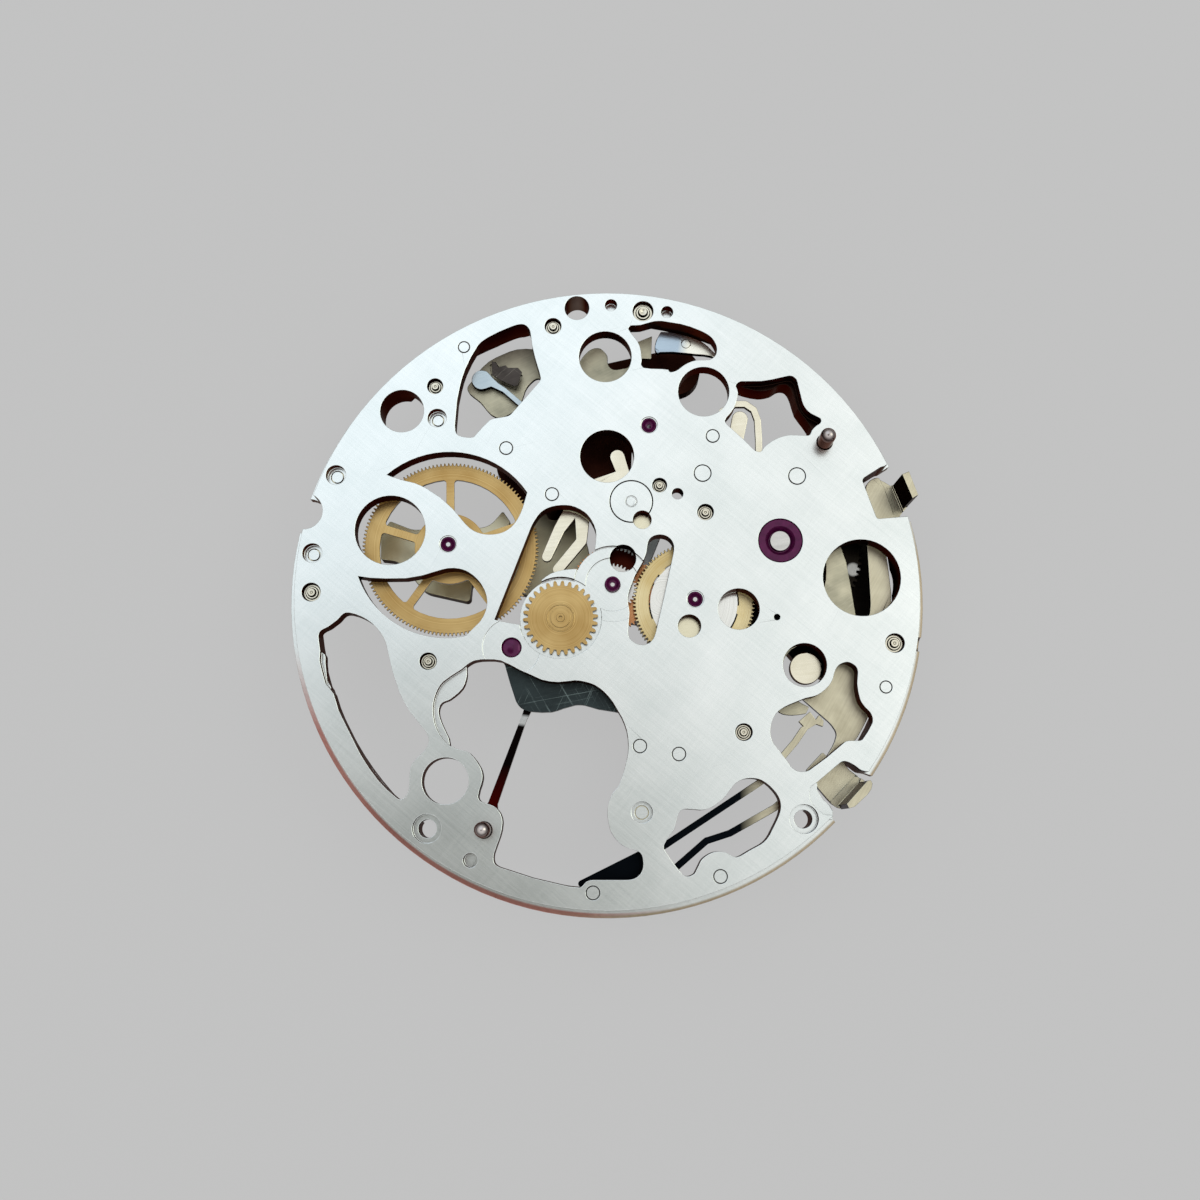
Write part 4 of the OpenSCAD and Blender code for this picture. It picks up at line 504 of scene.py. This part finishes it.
# Painted shade in the notched pocket of the corner cover: a thin dark plate, half of it let into
# the cover's face and half over it, outlined in millimetres
pocket = {"rise": 0.03 * mm, "bevel": 0.012 * mm, "outline": (
    (-7.32, 10.48), (-7.09, 10.45), (-6.96, 10.24), (-6.63, 10.39), (-6.48, 10.28),
    (-6.01, 10.36), (-5.78, 10.17), (-5.86, 9.49), (-6.01, 9.40), (-6.69, 9.59), (-7.18, 9.80))}
work = bmesh.new()
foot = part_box("corner_cover")[1].z - pocket["rise"]
base = work.faces.new([work.verts.new((x * mm, y * mm, foot)) for x, y in pocket["outline"]])
raised = bmesh.ops.extrude_face_region(work, geom=[base])["geom"]
bmesh.ops.translate(work, verts=[g for g in raised if isinstance(g, bmesh.types.BMVert)],
    vec=(0, 0, 2 * pocket["rise"]))
bmesh.ops.recalc_face_normals(work, faces=work.faces)
bmesh.ops.bevel(work, geom=work.edges[:], offset=pocket["bevel"], offset_type="OFFSET",
    segments=2, profile=0.5, affect="EDGES", clamp_overlap=True, material=-1)
mesh = bpy.data.meshes.new("coverPocketShade")
work.to_mesh(mesh)
work.free()
mesh.materials.append(pocketShadeNickel)
coverPocketShade = newObject("coverPocketShade", mesh)
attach(coverPocketShade, bodyOf["corner_cover"])
print("pocket done")


# The separate solids of a node: centre, radius, top, foot and bore of each, in metres
def solidsOf(node):
    sameAxis = 0.05 * mm
    work = bmesh.new()
    work.from_mesh(frame["nodes"][node].data)
    bmesh.ops.remove_doubles(work, verts=work.verts, dist=weldGap)
    left, found = set(work.verts), []
    while left:
        group, edge = set(), [left.pop()]
        while edge:
            vert = edge.pop()
            group.add(vert)
            for link in vert.link_edges:
                other = link.other_vert(vert)
                if other in left:
                    left.remove(other)
                    edge.append(other)
        xs, ys, zs = ([v.co[i] for v in group] for i in range(3))
        centre = Vector(((min(xs) + max(xs)) / 2, (min(ys) + max(ys)) / 2, 0))
        found.append({"centre": centre, "radius": (max(xs) - min(xs)) / 2, "top": max(zs),
            "foot": min(zs), "bore": min((v.co.xy - centre.xy).length for v in group)})
    work.free()
    for solid in found:
        near = [o["radius"] for o in found
            if (o["centre"] - solid["centre"]).length < sameAxis]
        solid["outer"] = solid["radius"] == max(near)
    return found


turning = {"steps": 48, "sharpAngle": 35, "sliver": 0.0002 * mm}


# Turned pieces: a profile of (radius, height) spun round the axis of each solid of a node
def turned(node, pieceName, body, profileOf, steps=turning["steps"]):
    work = bmesh.new()
    for solid in solidsOf(node):
        points = [solid["centre"] + Vector((r, 0, z)) for r, z in profileOf(solid)]
        verts = [work.verts.new(p) for p in points]
        edges = [work.edges.new(pair) for pair in zip(verts, verts[1:] + verts[:1])]
        bmesh.ops.spin(work, geom=verts + edges, cent=solid["centre"], axis=(0, 0, 1),
            angle=math.tau, steps=steps, use_merge=True)
    bmesh.ops.remove_doubles(work, verts=work.verts, dist=weldGap)
    bmesh.ops.dissolve_degenerate(work, dist=turning["sliver"], edges=work.edges)
    bmesh.ops.recalc_face_normals(work, faces=work.faces)
    mesh = bpy.data.meshes.new(pieceName)
    work.to_mesh(mesh)
    work.free()
    mesh.shade_smooth()
    mesh.set_sharp_from_angle(angle=math.radians(turning["sharpAngle"]))
    mesh.materials.append(finishOf[node])
    piece = newObject(pieceName, mesh)
    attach(piece, body)
    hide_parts(node)


# Pierced jewel: a flat lip, then a dished oil sink down to the hole
jewel = {"bore": 0.1 * mm, "lip": 0.06 * mm, "chamfer": 0.025 * mm, "sinkDepth": 0.16 * mm,
    "sinkSteps": 6}


def jewelProfile(solid):
    r, top, foot = solid["radius"], solid["top"], solid["foot"]
    sinkR = r - jewel["lip"]
    sink = []
    for i in range(jewel["sinkSteps"] + 1):
        share = i / jewel["sinkSteps"]
        radius = jewel["bore"] + (sinkR - jewel["bore"]) * share
        sink.append((radius, top - jewel["sinkDepth"] * math.cos(share * math.pi / 2)))
    return [(jewel["bore"], foot)] + sink + [(r - jewel["chamfer"], top),
        (r, top - jewel["chamfer"]), (r, foot)]


turned("train_jewels", "trainJewels", "frame", jewelProfile)

# End jewel: a low dome with no hole
endJewel = {"rise": 0.09 * mm, "domeSteps": 8, "curve": 2.5}


def domeProfile(solid):
    r, top, foot = solid["radius"], solid["top"], solid["foot"]
    dome = []
    for i in range(endJewel["domeSteps"] + 1):
        share = i / endJewel["domeSteps"]
        dome.append((r * share, top - endJewel["rise"] * share ** endJewel["curve"]))
    return [(0, foot)] + dome + [(r, foot)]


turned("end_jewel", "endJewelDome", "frame", domeProfile)

# Barrel jewel: a flat ring whose inner edge slopes down into a dark well round the arbor
barrelJewel = {"flatShare": 0.67, "ringShare": 0.62, "wellShare": 0.5, "wellDepth": 0.3 * mm,
    "chamfer": 0.05 * mm, "steps": 64}


def barrelJewelProfile(solid):
    r, top, bore, foot = solid["radius"], solid["top"], solid["bore"], solid["foot"]
    well, edge = top - barrelJewel["wellDepth"], top - barrelJewel["chamfer"]
    return [(bore, foot), (bore, well), (r * barrelJewel["wellShare"], well),
        (r * barrelJewel["ringShare"], edge), (r * barrelJewel["flatShare"], top),
        (r - barrelJewel["chamfer"], top), (r, edge), (r, foot)]


turned("barrel_jewel", "barrelJewelRing", "frame", barrelJewelProfile,
    barrelJewel["steps"])
print("jewels done")

# Tapped tubes with the end of a screw in each: bright rings, a dark groove between and a fine
# centre. The shares are of the screw's radius
tube = {"bevel": 0.03 * mm, "grooveDepth": 0.16 * mm, "dimpleShare": 0.14, "ringShare": 0.28,
    "flatShare": 0.6, "grooveShare": 0.8}


def tubeProfile(solid):
    r, top, foot = solid["radius"], solid["top"], solid["foot"]
    if not solid["outer"]:
        dimple, groove = top - tube["bevel"], top - tube["grooveDepth"]
        return [(0, foot), (0, dimple), (r * tube["dimpleShare"], dimple),
            (r * tube["ringShare"], top), (r * tube["flatShare"], top),
            (r * tube["grooveShare"], groove), (r, groove), (r, foot)]
    inner = solid["bore"]
    return [(inner, foot), (inner, top - tube["bevel"]), (inner + tube["bevel"], top),
        (r - tube["bevel"] * 2, top), (r, top - tube["bevel"] * 2), (r, foot)]


turned("screw_tubes", "screwTubes", "frame", tubeProfile)
print("tubes done")

# Camera at the photo's viewing angle, with its sensor in millimetres
view = {"tilt": 9.39, "turn": 9.0, "distance": 68 * mm, "focalPixels": 1459.39,
    "imagePixels": 1200, "target": (-0.33 * mm, -0.42 * mm), "sensor": 36,
    "clipStart": 1 * mm, "clipEnd": 5}
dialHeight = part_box("main_plate")[1].z
spin = Matrix.Rotation(math.radians(view["turn"]), 4, "Z")
target = spin @ Vector((*view["target"], 0)) + Vector((0, 0, dialHeight))
tilt = math.radians(view["tilt"])
back = spin @ Vector((0, -math.sin(tilt), math.cos(tilt)))
up = spin @ Vector((0, math.cos(tilt), math.sin(tilt)))
side = up.cross(back)
cameraData = bpy.data.cameras.new("camera")
camera = newObject("camera", cameraData)
cameraData.sensor_width = view["sensor"]
cameraData.lens = view["sensor"] * view["focalPixels"] / view["imagePixels"]
cameraData.clip_start, cameraData.clip_end = view["clipStart"], view["clipEnd"]
place = target + back * view["distance"]
camera.matrix_world = Matrix((
    (side.x, up.x, back.x, place.x), (side.y, up.y, back.y, place.y),
    (side.z, up.z, back.z, place.z), (0, 0, 0, 1)))
bpy.context.scene.camera = camera

# Pale floor, soft studio lamps and a room that is bright overhead, darker towards the horizon
# and softly shaded near the lens
stage = {"floorSize": 1.2, "floorColour": "C5C5C5", "floorRough": 0.9, "glowShare": 0.85,
    "zenith": "FFFFFF", "horizon": "6E6C6A", "riseRange": (0.1, 0.85), "shade": "6E6B64",
    "shadeFrom": (-0.12, -0.13, 0.98), "shadeRange": (0.955, 0.998)}
lamps = {
    "key": {"power": 0.045, "size": 0.28, "place": (-0.12, 0.14, 0.26), "colour": "B0DCFF"},
    "fill": {"power": 0.07, "size": 0.16, "place": (0.16, 0.06, 0.2), "colour": "FBFFE8"}}
bpy.ops.mesh.primitive_plane_add(size=stage["floorSize"])
floor = bpy.context.object
floor.name = "floor"
floorMaterial, tree, shader = newMaterial("paleFloor")
shader.inputs["Base Color"].default_value = tone(stage["floorColour"])
shader.inputs["Roughness"].default_value = stage["floorRough"]
path = addNode(tree, "ShaderNodeLightPath").outputs
seen = plainMath(tree, "MAXIMUM", [path["Is Camera Ray"], path["Is Glossy Ray"]])
glow = addNode(tree, "ShaderNodeEmission", {}, {"Color": tone(stage["floorColour"]),
    "Strength": 1.0}).outputs[0]
amount = plainMath(tree, "MULTIPLY", [seen, stage["glowShare"]])
mixed = addNode(tree, "ShaderNodeMixShader", {}, {0: amount, 1: shader.outputs[0], 2: glow})
tree.links.new(mixed.outputs[0], tree.nodes["Material Output"].inputs["Surface"])
floor.data.materials.append(floorMaterial)

for name, lamp in lamps.items():
    data = bpy.data.lights.new(name, "AREA")
    data.energy, data.size, data.shape = lamp["power"], lamp["size"], "DISK"
    data.color = tone(lamp["colour"])[:3]
    light = newObject(name, data)
    light.location = lamp["place"]
    light.rotation_mode = "QUATERNION"
    light.rotation_quaternion = Vector(lamp["place"]).to_track_quat("Z", "Y")

world = bpy.data.worlds.new("studio")
world.use_nodes = True
tree = world.node_tree
sky = addNode(tree, "ShaderNodeTexCoord").outputs["Generated"]
rise = ranged(tree, heightOf(tree, sky), *stage["riseRange"])
room = blendTones(tree, rise, stage["horizon"], stage["zenith"])
towards = vectorMath(tree, "DOT_PRODUCT", sky, Vector(stage["shadeFrom"]).normalized())
shaded = ranged(tree, towards.outputs["Value"], *stage["shadeRange"], "SMOOTHSTEP")
tree.links.new(blendColour(tree, shaded, room, tone(stage["shade"])),
    tree.nodes["Background"].inputs[0])
bpy.context.scene.world = world
bpy.context.scene.view_settings.view_transform = "Standard"
print("stage done")
